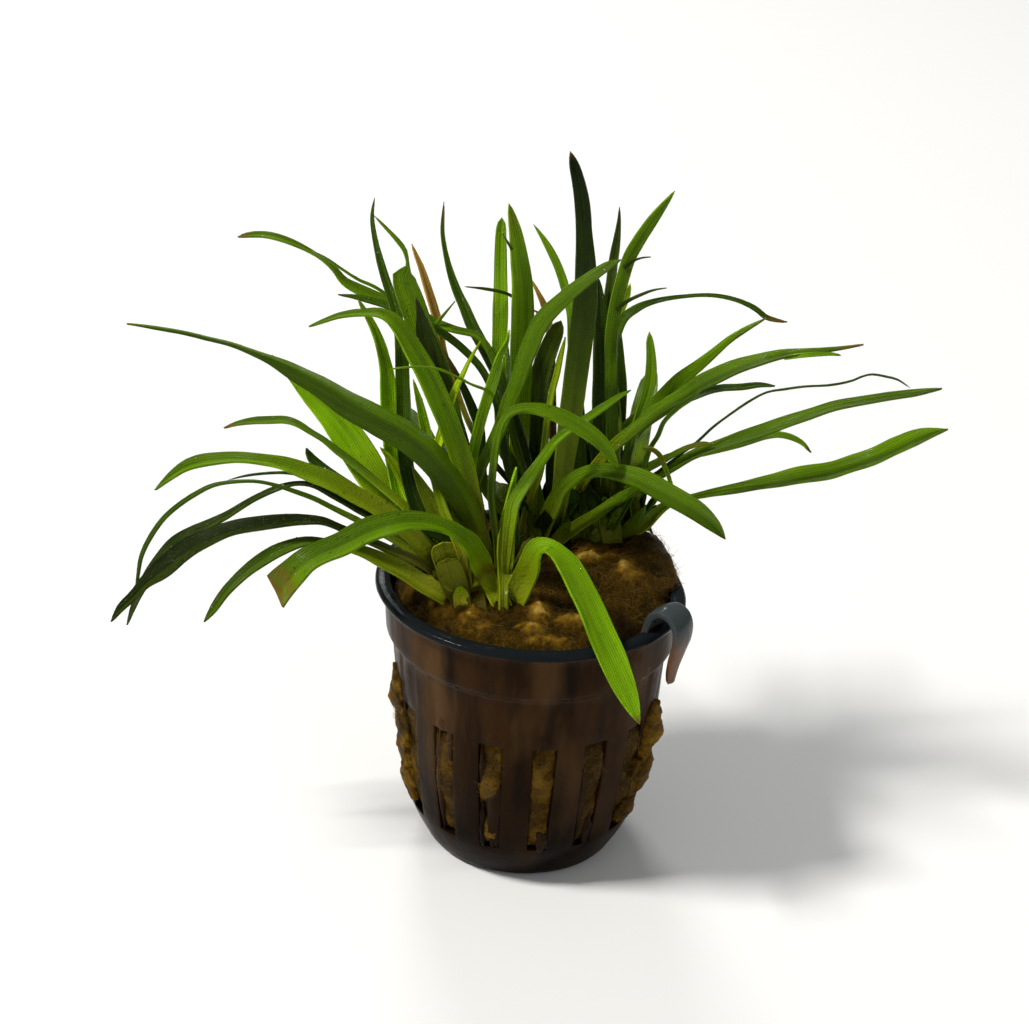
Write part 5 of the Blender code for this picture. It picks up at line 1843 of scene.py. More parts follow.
@dataclass
class Blade:
    """A leaf's blade: a channelled strap with a pale base, veins and a thin tip."""

    name: str
    frame: StrapFrame
    look: Look
    slot: str
    replaced: tuple[str, ...] = ()
    exact: bool = False
    columns: int = 13
    row_length: float = 0.8
    least_rows: int = 36
    thick: float = 0.36
    base_share: float = 0.92
    base_angle: float = 62.0
    middle_angle: float = 34.0
    end_angle: float = 18.0
    sink: float = 3.4
    twist: float = 5.0
    ripple: float = 0.10
    seed: int = 0

    # Which way a base goes on into the wool: away from the viewer and down
    INTO_WOOL = np.array([0.0, 0.45, -0.5])
    # How a tip closes: the powers of its outline
    TIP_START = 1.7
    TIP_END = 0.85
    # The lengths of the edges' long and short ripples, in millimetres to a radian
    LONG_RIPPLE = 3.1
    SHORT_RIPPLE = 1.3

    def widths(self, half: Points, share: Points) -> Points:
        """Half widths along the blade.

        Args:
            half: half widths at the frame's points.
            share: their shares of the length.

        Returns:
            Half widths at the same places, which for a CAD leaf stay full down to the base.
        """
        if self.exact:
            return half
        full = np.maximum.accumulate(half[::-1])[::-1]
        if not self.frame.cut_end:
            full[-1] = 0.0
        grow = self.base_share + (1 - self.base_share) * ease(share / 0.3)
        return full * grow

    def rows(self) -> tuple[Points, Points, Points, Points, Points]:
        """The blade's fine rows.

        Returns:
            The middle line, the directions across and up, the half widths and the shares.
        """
        source = self.frame
        share = run_length(source.line) / source.length()
        half = self.widths(source.half, share)
        knots = np.concatenate([source.line, source.across, source.upper, half[:, None]], axis=1)
        if self.sink:
            back = unit(source.line[0] - source.line[1])
            first = knots[0].copy()
            first[:3] += unit(back + self.INTO_WOOL) * self.sink
            knots = np.concatenate([first[None], knots])
        count = max(int(source.length() / self.row_length), self.least_rows)
        fine = smooth_curve(knots, count)
        line = fine[:, :3]
        shares = run_length(line) / run_length(line)[-1]
        width = np.maximum(fine[:, 9], 0.0)
        if not source.cut_end and not self.exact:
            last = 1 - 1 / (len(source.line) - 0.5)
            at = np.interp(last, shares, width)
            beyond = np.clip((shares - last) / (1 - last), 0, 1)
            width = np.where(shares > last, at * (1 - beyond**self.TIP_START) ** self.TIP_END, width)
        if not source.cut_end:
            width[-1] = 0.0
        ahead = unit(np.gradient(line, axis=0))
        across = fine[:, 3:6] - ahead * np.sum(fine[:, 3:6] * ahead, axis=1, keepdims=True)
        across = unit(across)
        upper = np.cross(ahead, across)
        upper *= np.where(np.sum(upper * fine[:, 6:9], axis=1, keepdims=True) < 0, -1, 1)
        return line, across, upper, width, shares

    def profile(self, u: Points, width: Points, share: Points) -> tuple[Points, Points]:
        """The blade's cross-sections, as arcs or as a fold.

        Args:
            u: places across the blade from -1 to 1, as a row.
            width: half widths, as a column.
            share: shares of the length, as a column.

        Returns:
            How far each place lies across and above the middle line.
        """
        keys = (0, 0.22, 0.6, 1)
        middle = self.middle_angle * self.look.channel
        angle = np.interp(share, keys, (self.base_angle, middle, middle * 0.85, self.end_angle))
        angle = np.radians(angle)
        radius = width / np.sin(angle)
        flat = radius * np.sin(u * angle)
        lift = radius * (1 - np.cos(u * angle)) - radius * (1 - np.cos(angle)) * 0.35
        crease = width * (np.sqrt(u**2 + 0.006) - 0.4) * 0.9
        folded = self.look.fold * ease(share / 0.2)
        lift = lift * (1 - folded) + crease * folded
        keel = 0.10 * np.exp(-((u / 0.12) ** 2)) * np.minimum(width, 1.0)
        return flat, lift - keel

    def sheet(self) -> tuple[Points, dict[str, Points]]:
        """The blade's surface as a grid of points.

        Returns:
            The points, and the attributes that the material reads.
        """
        line, across, upper, width, share = self.rows()
        random = np.random.default_rng(self.seed)
        phase = random.uniform(0, 6.28, 4)
        turn = np.radians(self.twist) * np.sin(share * 5 + phase[0]) * ease(share / 0.2)
        side = across * np.cos(turn)[:, None] + upper * np.sin(turn)[:, None]
        up = upper * np.cos(turn)[:, None] - across * np.sin(turn)[:, None]
        u = np.linspace(-1, 1, self.columns)[None]
        flat, lift = self.profile(u, width[:, None], share[:, None])
        run = run_length(line)
        wave = np.sin(run[:, None] / self.LONG_RIPPLE + phase[1] + u * 1.2)
        wave = wave + 0.6 * np.sin(run[:, None] / self.SHORT_RIPPLE + phase[2])
        lift = lift + self.ripple * wave * np.abs(u) ** 2 * np.minimum(width[:, None], 1.5)
        places = line[:, None] + side[:, None] * flat[..., None] + up[:, None] * lift[..., None]
        return places, self.attributes(u, width, run)

    def attributes(self, u: Points, width: Points, run: Points) -> dict[str, Points]:
        """What the material reads at each point of the blade.

        Args:
            u: places across the blade from -1 to 1, as a row.
            width: half widths.
            run: distances along the blade.

        Returns:
            The attributes by name, each as rows by columns.
        """
        across_mm = u * width[:, None]
        run_mm = np.broadcast_to(run[:, None], across_mm.shape)
        end = run[-1]
        pale = (1 - ease((run - self.sink) / max(self.look.pale, 0.1) * 0.8)) * (self.sink > 0)
        tip = ease((run - end + self.look.withered) / max(self.look.withered * 0.5, 0.3))
        tip = tip * (self.look.withered > 0) * self.look.wither_depth
        for place, size in self.look.stains:
            tip = np.maximum(tip, 0.8 * np.exp(-(((run - place * end) / size) ** 2)))
        along = np.clip((run - self.sink) / (end - self.sink), 0, 1)
        # The look's shades along the blade: the leaf's own tone with painted light and painted shade
        shade = self.look.shade * np.interp(along, (0.0, 0.5, 1.0), self.look.shades)
        # A base that lies hidden in the crown is painted darker: painted shade
        if self.frame.hidden:
            shade *= 0.35 + 0.65 * ease((run - self.sink - self.frame.hidden + 2.5) / 5)
        # One half of the blade is painted darker: painted shade
        shaded_half = abs(self.look.shaded_half) * ease((u * np.sign(self.look.shaded_half) + 0.12) / 0.24)
        return {
            "shade": shade[:, None] * (1 - shaded_half),
            "across_mm": across_mm,
            "run_mm": run_mm,
            "pale": np.broadcast_to(pale[:, None], across_mm.shape),
            "withered": np.broadcast_to(tip[:, None], across_mm.shape),
        }

    def build(self, material: bpy.types.Material, lighter: float) -> bpy.types.Object:
        """Models the blade and dresses it.

        Args:
            material: the blade's material.
            lighter: how much lighter it is than its look says.

        Returns:
            The blade.
        """
        places, attributes = self.sheet()
        attributes["shade"] = attributes["shade"] * lighter
        blade = add_grid(self.name, places)
        for name, values in attributes.items():
            add_attribute(blade.data, name, values)
        apply_modifier(blade, "SOLIDIFY", thickness=self.thick * MM, offset=0.0)
        bpy.ops.object.mode_set(mode="EDIT")
        bpy.ops.mesh.select_all(action="SELECT")
        bpy.ops.mesh.remove_doubles(threshold=0.00001)
        bpy.ops.mesh.normals_make_consistent(inside=False)
        bpy.ops.object.mode_set(mode="OBJECT")
        smooth_shading(blade, 70)
        finish_piece(blade, material, self.slot, self.replaced)
        return blade


# Each CAD leaf's look. Its shade and shades set the leaf's own tone with painted light and painted shade
LOOKS: dict[str, Look] = {
    "leaf_left_long_folded": Look(LeafTone.GREEN, (
        (487, 560, 15), (478, 530, 18), (466, 503, 22), (450, 478, 26), (430, 452, 29), (403, 431, 29),
        (379, 418, 28), (351, 403, 27), (317, 382, 21), (290, 368, 15), (268, 358, 8), (250, 351, 5.5),
        (230, 344, 4.6), (206, 338, 4), (180, 332, 3.4), (150, 327, 2.6), (127, 324, 1),
    ), fold=0.9, withered=2, tilt=8, shows_back=True, shaded_half=-0.6, shades=(1.1, 0.95, 0.85)),
    "leaf_left_wide_light": Look(LeafTone.LIME, (
        (420, 560, 16), (405, 535, 21), (392, 512, 26), (378, 487, 30), (363, 462, 32), (348, 438, 31),
        (331, 416, 25), (312, 396, 19), (293, 376, 11), (272, 355, 1),
    ), pale=22, fold=0.35, shaded_half=0.3, shades=(1.2, 1.75, 0.9)),
    "leaf_left_slim_high": Look(LeafTone.GREEN, (
        (425, 525, 9), (399, 501, 8), (374, 480, 7), (351, 461, 6.5), (336, 450, 6), (324, 440, 5),
        (311, 432, 4.8), (298, 424, 6), (286, 420, 6.6), (269, 420, 6.6), (252, 421, 6), (237, 423.5, 3.8),
        (224, 428, 1),
    ), pale=26, withered=3, shaded_half=0.3, shades=(1.3, 1.2, 0.7)),
    "leaf_left_yellow_arch": Look(LeafTone.LIME, (
        (430, 555, 15), (410, 533, 17), (390, 517, 18), (370, 505, 18.5), (347, 492, 18.5), (324, 480, 18),
        (300, 471, 16), (279, 464, 13.5), (258, 460, 12), (237, 458.5, 11.5), (218, 459, 11.5),
        (201, 461.5, 11.5), (184, 467.5, 9.5), (170, 477, 6.5), (155, 490, 1),
    ), pale=30, fold=0.3, shaded_half=0.3, shades=(0.85, 1, 0.65)),
    "leaf_left_short_round": Look(LeafTone.DEEP, (
        (372, 500, 9), (353, 489, 9.5), (338, 480, 10.5), (324, 470.5, 10.8), (314, 461.5, 9.5),
        (309, 454, 6), (306.5, 448, 2),
    ), pale=14, shades=(1.2, 1, 1.6)),
    "leaf_left_grey": Look(LeafTone.GREY, (
        (425, 552, 9), (400, 532, 8), (376, 518, 7.5), (357, 509, 7.5), (336, 497, 7), (313, 485, 5),
        (296, 483.4, 4), (279, 487.5, 5.2), (260, 496, 5.6), (243, 505.5, 6.5), (226, 516, 8),
        (210, 524.5, 10), (193, 533, 12.5), (178, 544.5, 16), (163, 559.5, 16), (151, 574, 12.5),
        (140, 591, 7.5), (132, 610, 4), (127, 625, 1),
    ), pale=12, shaded_half=0.35, shades=(1.3, 2, 1.4)),
    "leaf_left_wiry_arch": Look(LeafTone.DEEP, (
        (420, 556, 8), (395, 540, 7), (368, 526, 6), (351, 517, 5.5), (332, 507.5, 4.6), (313, 498, 4.2),
        (294, 491, 3.6), (275, 485, 2.8), (256, 481.3, 2.4), (231, 482, 2.8), (212, 485.6, 3.5),
        (195, 494, 4), (178, 505.5, 4), (163, 519, 4), (148.5, 540.5, 4), (141, 557, 3.2), (138, 574, 2.4),
        (135.5, 592, 1),
    ), pale=20, shades=(2, 2.2, 1.4)),
    "leaf_left_deep_gloss": Look(LeafTone.GREY, (
        (420, 562, 9), (390, 550, 7.5), (360, 537, 7.5), (338.5, 528, 7.5), (321.5, 521.5, 8.5),
        (302.5, 520.5, 10.5), (281.5, 522.5, 12.5), (256, 525.5, 14.5), (231, 531, 16), (205.5, 540.5, 18),
        (184, 553, 19), (163, 570, 18), (146.5, 582.5, 12), (134, 595.5, 9), (121, 608, 7), (111, 621.5, 1),
    ), pale=10, fold=0.4, shaded_half=0.4, shades=(1, 0.9, 1.1)),
    "leaf_left_low": Look(LeafTone.GREEN, (
        (445, 596, 17), (427, 586, 18), (406, 573, 17.5), (385, 562.5, 15.5), (364, 553, 12),
        (335, 545, 9.5), (309, 541.5, 9), (294, 544.5, 10.5), (277, 551, 12), (260.5, 561.5, 12),
        (243.5, 574, 10.5), (226.5, 591, 9), (214, 608, 7), (204, 622, 1),
    ), pale=26, shaded_half=0.3, shades=(1.6, 0.7, 0.55)),
    "leaf_left_kinked": Look(LeafTone.LIME, (
        (498, 597, 18), (487, 578, 19), (478, 560, 20), (470, 546, 19), (459, 536, 16), (446, 528, 15),
        (428, 523, 17), (405, 522.5, 20), (384, 527, 24), (363, 535, 26), (342, 545.5, 26), (323, 553, 25),
        (306, 562, 26), (290, 578, 29), (277, 595, 32),
    ), pale=12, withered=1.6, fold=0.3, stains=((0.17, 1.2), (0.94, 1.3)),
        shaded_half=0.3, shades=(1.7, 0.75, 0.65)),
    "leaf_left_upright": Look(LeafTone.LIME, (
        (401, 500, 13), (395, 470, 14.5), (391, 440, 15.5), (389, 409, 16), (388, 391, 16), (387, 374, 14),
        (384, 358, 11.5), (381, 346, 10.5), (375.5, 331, 8.5), (368.5, 317, 6.5), (358, 299, 2),
    ), pale=10, shades=(2, 2, 0.7)),
    "leaf_left_bent_over": Look(LeafTone.GREEN, (
        (478, 540, 18), (471, 500, 20), (461, 460, 22), (448, 423, 22), (434, 390, 22), (418, 359, 21),
        (403, 333, 18), (391, 318, 13), (379, 312.5, 9.5), (365, 312.5, 7.4), (351, 313.5, 6.4),
        (337.5, 316, 5), (323.5, 321, 3.5), (309, 326.5, 1),
    ), pale=18, shaded_half=0.35, shades=(1.3, 1.8, 1.1)),
    "leaf_left_tall_slim": Look(LeafTone.DEEP, (
        (407, 470, 14), (404, 430, 15), (403, 390, 14), (401, 345, 12), (398, 322, 10.5), (393, 301, 9.5),
        (386, 280, 8.5), (380.5, 262, 7), (375, 240, 5.2), (372, 220, 3.8), (372.5, 209, 2.4),
        (374.5, 198, 0.8),
    ), pale=8, shades=(1.3, 1.7, 1.6)),
    "leaf_left_shouldered": Look(LeafTone.GREEN, (
        (466, 480, 19), (456, 442, 20.5), (448, 405, 22), (438, 372, 23), (428, 345, 24), (418, 320, 25),
        (410, 298, 25), (405, 283, 23), (404, 274, 20), (406.5, 270, 9), (408, 265, 3), (407, 259, 3),
        (405, 251, 4), (400, 243.5, 4.6), (393, 235.5, 4), (384, 226, 2.8), (374.5, 216, 1),
    ), pale=12, shaded_half=0.3, shades=(1.1, 1.25, 1.1)),
    "leaf_left_front_light": Look(LeafTone.LIME, (
        (478, 555, 14), (471, 520, 13), (472, 495, 12), (480, 470, 11.5), (490, 449, 11.5), (499, 431, 13),
        (506, 412, 14), (513, 393, 14.5), (520, 375, 16), (526, 358, 16.8), (532, 342, 16.8),
        (538, 328, 16.8), (548, 314, 15.6), (560, 302, 14.5), (572, 291, 13), (584, 282, 12),
        (598, 272, 10), (610, 264.5, 7.5), (621, 259.5, 1),
    ), pale=16, shaded_half=0.35, shades=(1.2, 0.65, 0.6)),
    "leaf_left_slip": Look(LeafTone.LIME, (
        (470, 480, 10), (474, 450, 10), (480, 424, 10.4), (487, 400, 10.4), (494, 378, 10.4), (501, 356, 8),
        (507, 342, 4), (509.5, 330, 1),
    ), pale=16, shaded_half=0.35, shades=(1.5, 1.2, 1.3)),
    "leaf_left_crossing": Look(LeafTone.LIME, (
        (505, 584, 5), (506.5, 556, 9), (510, 525, 12), (514, 503, 12), (521, 490, 12), (531, 475, 11.5),
        (543, 458, 10), (555, 441.5, 8.5), (568, 431, 7.4), (587, 418, 7.2), (606, 405, 6.6),
        (620, 395.5, 4.2), (631, 390, 1),
    ), pale=16, shades=(0.7, 0.9, 1)),
    "leaf_left_spear": Look(LeafTone.LIME, (
        (504, 592, 9), (504.5, 577, 13), (505.5, 558, 16.5), (506, 540, 16.5), (507, 522, 14),
        (509, 504, 8), (512.5, 487, 6), (516.5, 467, 1),
    ), nearer=1.6, pale=16, shaded_half=0.3, shades=(0.9, 0.8, 1.8)),
    "leaf_left_over_middle": Look(LeafTone.GREEN, (
        (493, 470, 7), (497, 440, 7), (504, 419, 7), (516, 410, 8.5), (532, 408.5, 10), (548, 412, 12.5),
        (564, 419, 15.5), (578, 426, 17), (590, 434, 17), (601, 444, 15), (610, 455, 11), (618, 467, 2),
    ), pale=12, shades=(0.9, 1, 1.6)),
    "leaf_left_bright_spear": Look(LeafTone.YELLOW, (
        (434, 462, 9), (441, 436, 9), (448, 410, 8), (456, 388, 6), (462, 376, 4), (468, 363, 2.8),
        (474, 352, 2), (480.5, 341, 0.8),
    ), shades=(1.8, 1.7, 1.2)),
    "leaf_front_folded": Look(LeafTone.LIME, (
        (514, 600, 24), (523, 582, 25), (531, 563, 25), (538, 550, 22), (547, 546, 14), (557, 552, 16),
        (568, 566, 22), (580, 587, 25), (592, 613, 25.5), (604, 640, 26), (615, 665, 25.5), (625, 688, 22),
        (633, 707, 14), (640, 724, 1.5),
    ), pale=12, withered=1.3, channel=0.7, shades=(0.9, 1.2, 1.3)),
    "leaf_middle_far_left": Look(LeafTone.GREEN, (
        (498, 370, 7), (479.5, 337, 6.4), (455, 329.5, 7), (438, 324, 8), (420.5, 315.5, 9), (396, 305, 10),
        (377, 298, 11), (358, 289, 10), (344, 280.5, 7.5), (334, 268.5, 5.2), (320, 257, 3.6),
        (304.5, 248, 4.5), (287, 240.5, 6), (266, 234.7, 6), (247, 235, 4.2), (237.8, 237, 1),
    ), withered=3, shaded_half=0.35, shades=(1.3, 1.3, 1.1)),
    "leaf_middle_left_slim": Look(LeafTone.DEEP, (
        (497, 405, 6.5), (483, 371, 6.8), (460, 346, 6.8), (434, 328, 6.4), (410, 315, 6.2),
        (394.5, 308, 6), (377, 302, 6), (361.5, 298, 5), (351, 296, 3), (338, 294.5, 1),
    ), shades=(2, 2.3, 2)),
    "leaf_middle_brown": Look(LeafTone.BROWN, (
        (470, 425, 5), (455, 385, 5), (444, 350, 5.4), (440.5, 332.5, 7.2), (437, 318.5, 8.5),
        (432, 301, 8.5), (426.5, 284, 7.5), (421.5, 268, 6), (416, 254.5, 4), (412, 244, 1),
    ), pale=34, shades=(1, 1.6, 1.8)),
    "leaf_middle_brown_short": Look(LeafTone.BROWN, (
        (551, 350, 7), (549, 325, 7), (546, 310, 7), (542, 300, 5.4), (537, 290, 3.4), (530.5, 278, 1),
    ), shades=(1.2, 1, 2)),
    "leaf_middle_dark_high": Look(LeafTone.DEEP, (
        (510, 410, 12), (502, 384, 11), (491.5, 362, 11), (481.5, 343, 11.4), (472.5, 327, 11.2),
        (464, 306.5, 10), (457, 291, 8.5), (450, 270, 6.4), (445, 249, 4.6), (442.5, 232, 3.6),
        (443, 214.5, 2.8), (444, 201.5, 0.8),
    ), withered=4, shades=(1.3, 1.5, 1.8)),
    "leaf_middle_upright_dark": Look(LeafTone.LIME, (
        (504, 450, 12), (501, 410, 13.5), (499.5, 375, 14), (499.5, 350, 14.6), (500, 332, 15),
        (500.4, 316, 15.2), (500.4, 300, 14.6), (500.4, 284, 13.4), (500.4, 268, 12.6), (500.6, 250, 11.8),
        (501, 234, 10.6), (501.6, 224, 8.2), (502, 217.5, 2),
    ), pale=8, channel=0.6, shades=(1, 1.25, 0.95)),
    "leaf_middle_upright_wide": Look(LeafTone.GREEN, (
        (517, 480, 17), (519, 440, 19), (520, 400, 20.5), (521, 365, 21.5), (522, 332, 22),
        (522.4, 312, 22.5), (522.4, 296, 22), (521.5, 280, 21), (520, 264, 19), (518, 248, 16),
        (514.5, 228, 11.5), (511.5, 214, 7), (509, 203.5, 1.5),
    ), withered=7, channel=0.6, wither_depth=0.35, shaded_half=0.25, shades=(1.2, 1.9, 2.0)),
    "leaf_middle_slim_right": Look(LeafTone.GREEN, (
        (573, 380, 9), (572.5, 340, 9), (571, 314, 9), (567, 296, 9), (562, 278, 8.6), (556, 262, 8),
        (549, 248, 6.6), (541, 235, 4), (533.5, 224.5, 1),
    ), pale=8, shades=(1.3, 1.5, 1.4)),
    "leaf_middle_tallest": Look(LeafTone.DEEP, (
        (557, 515, 16), (561, 490, 18), (566, 450, 21), (571, 410, 23), (576, 375, 24), (580, 345, 24),
        (583, 320, 24), (585, 300, 23.5), (586, 280, 22), (585.6, 262, 20), (585, 246, 17.6),
        (584, 230, 15.8), (583, 214, 15.2), (581, 196, 14.2), (578, 180, 12.6), (574, 164, 9),
        (570.5, 151.5, 1.5),
    ), pale=42, channel=0.7, withered=1, shades=(2.8, 1.0, 0.2), shaded_half=0.25),
    "leaf_middle_dark_curved": Look(LeafTone.GREY, (
        (537, 450, 18), (536, 420, 19), (537, 398, 20), (540, 378, 20), (545, 360, 19), (551, 344, 17.5),
        (557, 330, 14), (561, 321, 5),
    ), pale=6, shades=(2, 1.8, 1.8)),
    "leaf_middle_bright_strip": Look(LeafTone.YELLOW, (
        (547, 420, 6.5), (550, 402, 6), (553, 388, 6), (557, 372, 6), (560, 358, 5), (563, 346, 3),
        (565, 337, 0.8),
    ), shades=(1.4, 1.25, 0.95)),
    "leaf_middle_long_right": Look(LeafTone.GREEN, (
        (585, 480, 9), (610, 450, 10.5), (640, 425, 11.5), (665, 406, 12.5), (684, 395, 13.2),
        (701, 383.5, 14), (720, 374, 14), (741, 365.5, 13), (762.5, 359, 11.5), (784, 354.5, 9),
        (803, 352, 6), (834, 349, 3.6), (863.5, 344.5, 0.8),
    ), withered=5, shaded_half=0.45, shades=(1.1, 1, 0.9)),
    "leaf_middle_long_low_right": Look(LeafTone.GREEN, (
        (549, 549, 10), (562, 538, 11), (580, 525, 11), (600, 512, 10.5), (618, 500, 10), (636, 489, 9),
        (655, 478, 8), (674, 466, 8), (691, 456, 8.5), (708, 449, 9.5), (729, 442, 10.5), (750, 435, 11.4),
        (771, 427.5, 11), (792, 420, 10.4), (813, 413, 10), (834.5, 406.5, 9.8), (855.5, 402, 8.6),
        (877, 398.5, 7.8), (898, 395, 7.2), (920, 392, 6), (942, 388.5, 0.8),
    ), shaded_half=0.35, shades=(1.3, 1.1, 0.7)),
    "leaf_middle_front_arch": Look(LeafTone.GREEN, (
        (540, 541, 12), (547, 520, 15), (556, 501, 15), (567, 485, 13), (581, 475.5, 13), (598, 471, 13),
        (616, 472.5, 15), (633.5, 477, 17), (648.5, 483.5, 19.5), (665.5, 493, 21), (682, 502.5, 21),
        (699, 513, 19.5), (714, 526, 13), (725.5, 539, 1),
    ), fold=0.2, shaded_half=0.3, shades=(1.3, 1.1, 0.6)),
    "leaf_right_blue_tip": Look(LeafTone.GREY, (
        (606, 330, 10), (608, 305, 10), (611, 280, 9.6), (613, 264, 9), (615, 252, 8.6), (617, 240, 7.2),
        (618.5, 228, 5), (619.4, 218, 2.8), (619.6, 207, 0.8),
    ), shades=(1.8, 1.8, 1.1)),
    "leaf_right_tall_curved": Look(LeafTone.GREEN, (
        (611, 380, 12), (611.5, 335, 12), (614, 316, 12.2), (617, 300, 12.4), (621, 284, 12.4),
        (625, 270, 12.6), (630, 256, 12.8), (638, 242, 12.6), (646, 230, 12), (656, 216, 10), (666, 203, 6),
        (675, 191, 0.8),
    ), shaded_half=0.4, shades=(1.05, 1.2, 1.4)),
    "leaf_right_yellow": Look(LeafTone.YELLOW, (
        (610, 365, 10), (612, 345, 10), (614, 326, 12), (617, 312, 13), (622, 302, 12), (627, 292, 8),
        (630.5, 284, 1),
    ), shades=(1.1, 1.5, 1.7)),
    "leaf_right_wiry_top": Look(LeafTone.DEEP, (
        (614, 345, 9), (624, 318, 9), (636, 309, 8), (648, 303.5, 5.5), (664, 299, 3.8), (686, 296, 2.8),
        (708, 295, 2.8), (725, 297, 3.2), (742, 302, 3.6), (756, 309, 4.2), (766, 317, 4.2), (776, 320, 3),
        (787, 322, 0.8),
    ), withered=5, shades=(2.2, 2.4, 2)),
    "leaf_right_spear": Look(LeafTone.LIME, (
        (635, 430, 9), (641, 412, 9.4), (646, 398, 10), (649.5, 384, 10.8), (651, 370, 10.4), (651, 356, 9),
        (650, 342, 7), (649.5, 332, 1.5),
    ), shades=(0.8, 0.55, 1.2)),
    "leaf_right_high": Look(LeafTone.GREEN, (
        (613, 443, 13), (628, 428.5, 14.5), (644.5, 414, 14.5), (661, 401, 14), (678, 382, 13),
        (697, 367.5, 11.5), (716, 351.5, 8.5), (731, 339, 6.4), (748, 328, 4.4), (766, 318, 0.8),
    ), fold=0.3, shaded_half=0.45, shades=(0.9, 1.6, 1.6)),
    "leaf_right_dark_level": Look(LeafTone.DEEP, (
        (640, 430, 6), (660, 415, 6), (678, 404, 6), (695, 396, 6.2), (708, 391, 6.4), (722.5, 388, 6.8),
        (741.5, 387, 6.4), (760.5, 385, 4.5), (775, 386, 0.8),
    ), shades=(2.2, 2, 1.5)),
    "leaf_right_slim_low": Look(LeafTone.GREEN, (
        (690, 456, 7), (715, 450, 7), (733, 445, 8), (750, 440, 8), (767, 435.5, 6.6), (779.5, 434.5, 5.6),
        (792, 437.5, 5), (803, 443.5, 3.4), (811, 452.5, 0.8),
    ), withered=2, shades=(1.6, 1.1, 2.2)),
    "leaf_right_glossy_low": Look(LeafTone.GREEN, (
        (630, 534, 12), (644.5, 524, 12.5), (657, 513, 11), (671, 503.5, 7), (691, 497.5, 5), (708, 494, 6),
        (729, 490, 8.5), (750, 486.5, 11), (771, 482.5, 13.6), (792, 478.5, 16), (813, 475, 16.4),
        (834.5, 471, 16.6), (855.5, 464.5, 18), (877, 457, 19), (898, 447.5, 18), (920.5, 437, 14),
        (948, 429, 1),
    ), pale=9, fold=0.35, shaded_half=0.3, shades=(1.3, 1.25, 1.5)),
    "leaf_middle_brownish": Look(LeafTone.DEEP, withered=6),
    "leaf_middle_dark_short": Look(LeafTone.DEEP),
    "leaf_right_dark_inner": Look(LeafTone.DEEP, pale=6),
    "leaf_right_wide_dark": Look(LeafTone.DEEP, pale=6),
    "leaf_right_sheath": Look(LeafTone.DEEP),
    "leaf_back_left": Look(LeafTone.GREEN, shade=0.5),
    "leaf_back_low_left": Look(LeafTone.DEEP, shade=0.6),
    "leaf_back_middle_low": Look(LeafTone.GREEN, shade=0.7),
    "leaf_back_middle_wide": Look(LeafTone.DEEP, (
        (520, 470, 14), (514, 430, 15), (508, 395, 14), (504, 360, 12), (502, 330, 8), (501, 312, 1),
    ), shade=0.8),
    "leaf_back_right_low": Look(LeafTone.DEEP, (
        (625, 482, 9), (640, 472, 9), (655, 464, 8), (668, 457, 6), (682, 450, 1),
    ), shade=0.8),
    "leaf_back_right_wide": Look(LeafTone.GREEN, shade=0.8),
}
# The record's material slot of each finish
SLOT_OF = {
    LeafTone.LIME: "leaf_green",
    LeafTone.GREEN: "leaf_green",
    LeafTone.YELLOW: "leaf_green",
    LeafTone.DEEP: "leaf_dark",
    LeafTone.GREY: "leaf_dark",
    LeafTone.BROWN: "leaf_brown",
    LeafTone.SHEATH: "crown_flesh",
}


@dataclass(frozen=True)
class Sprig:
    """A small leaf, thread or sheath that the solids leave out.

    Its depths are how far behind the pot's axis its base and its tip lie, in millimetres. Its turn
    is how far the blade is turned about its line from facing the viewer, in degrees. It is rooted
    where its base stands in the wool.
    """

    name: str
    look: Look
    near_depth: float
    far_depth: float
    turn: float = 0.0
    rooted: bool = False


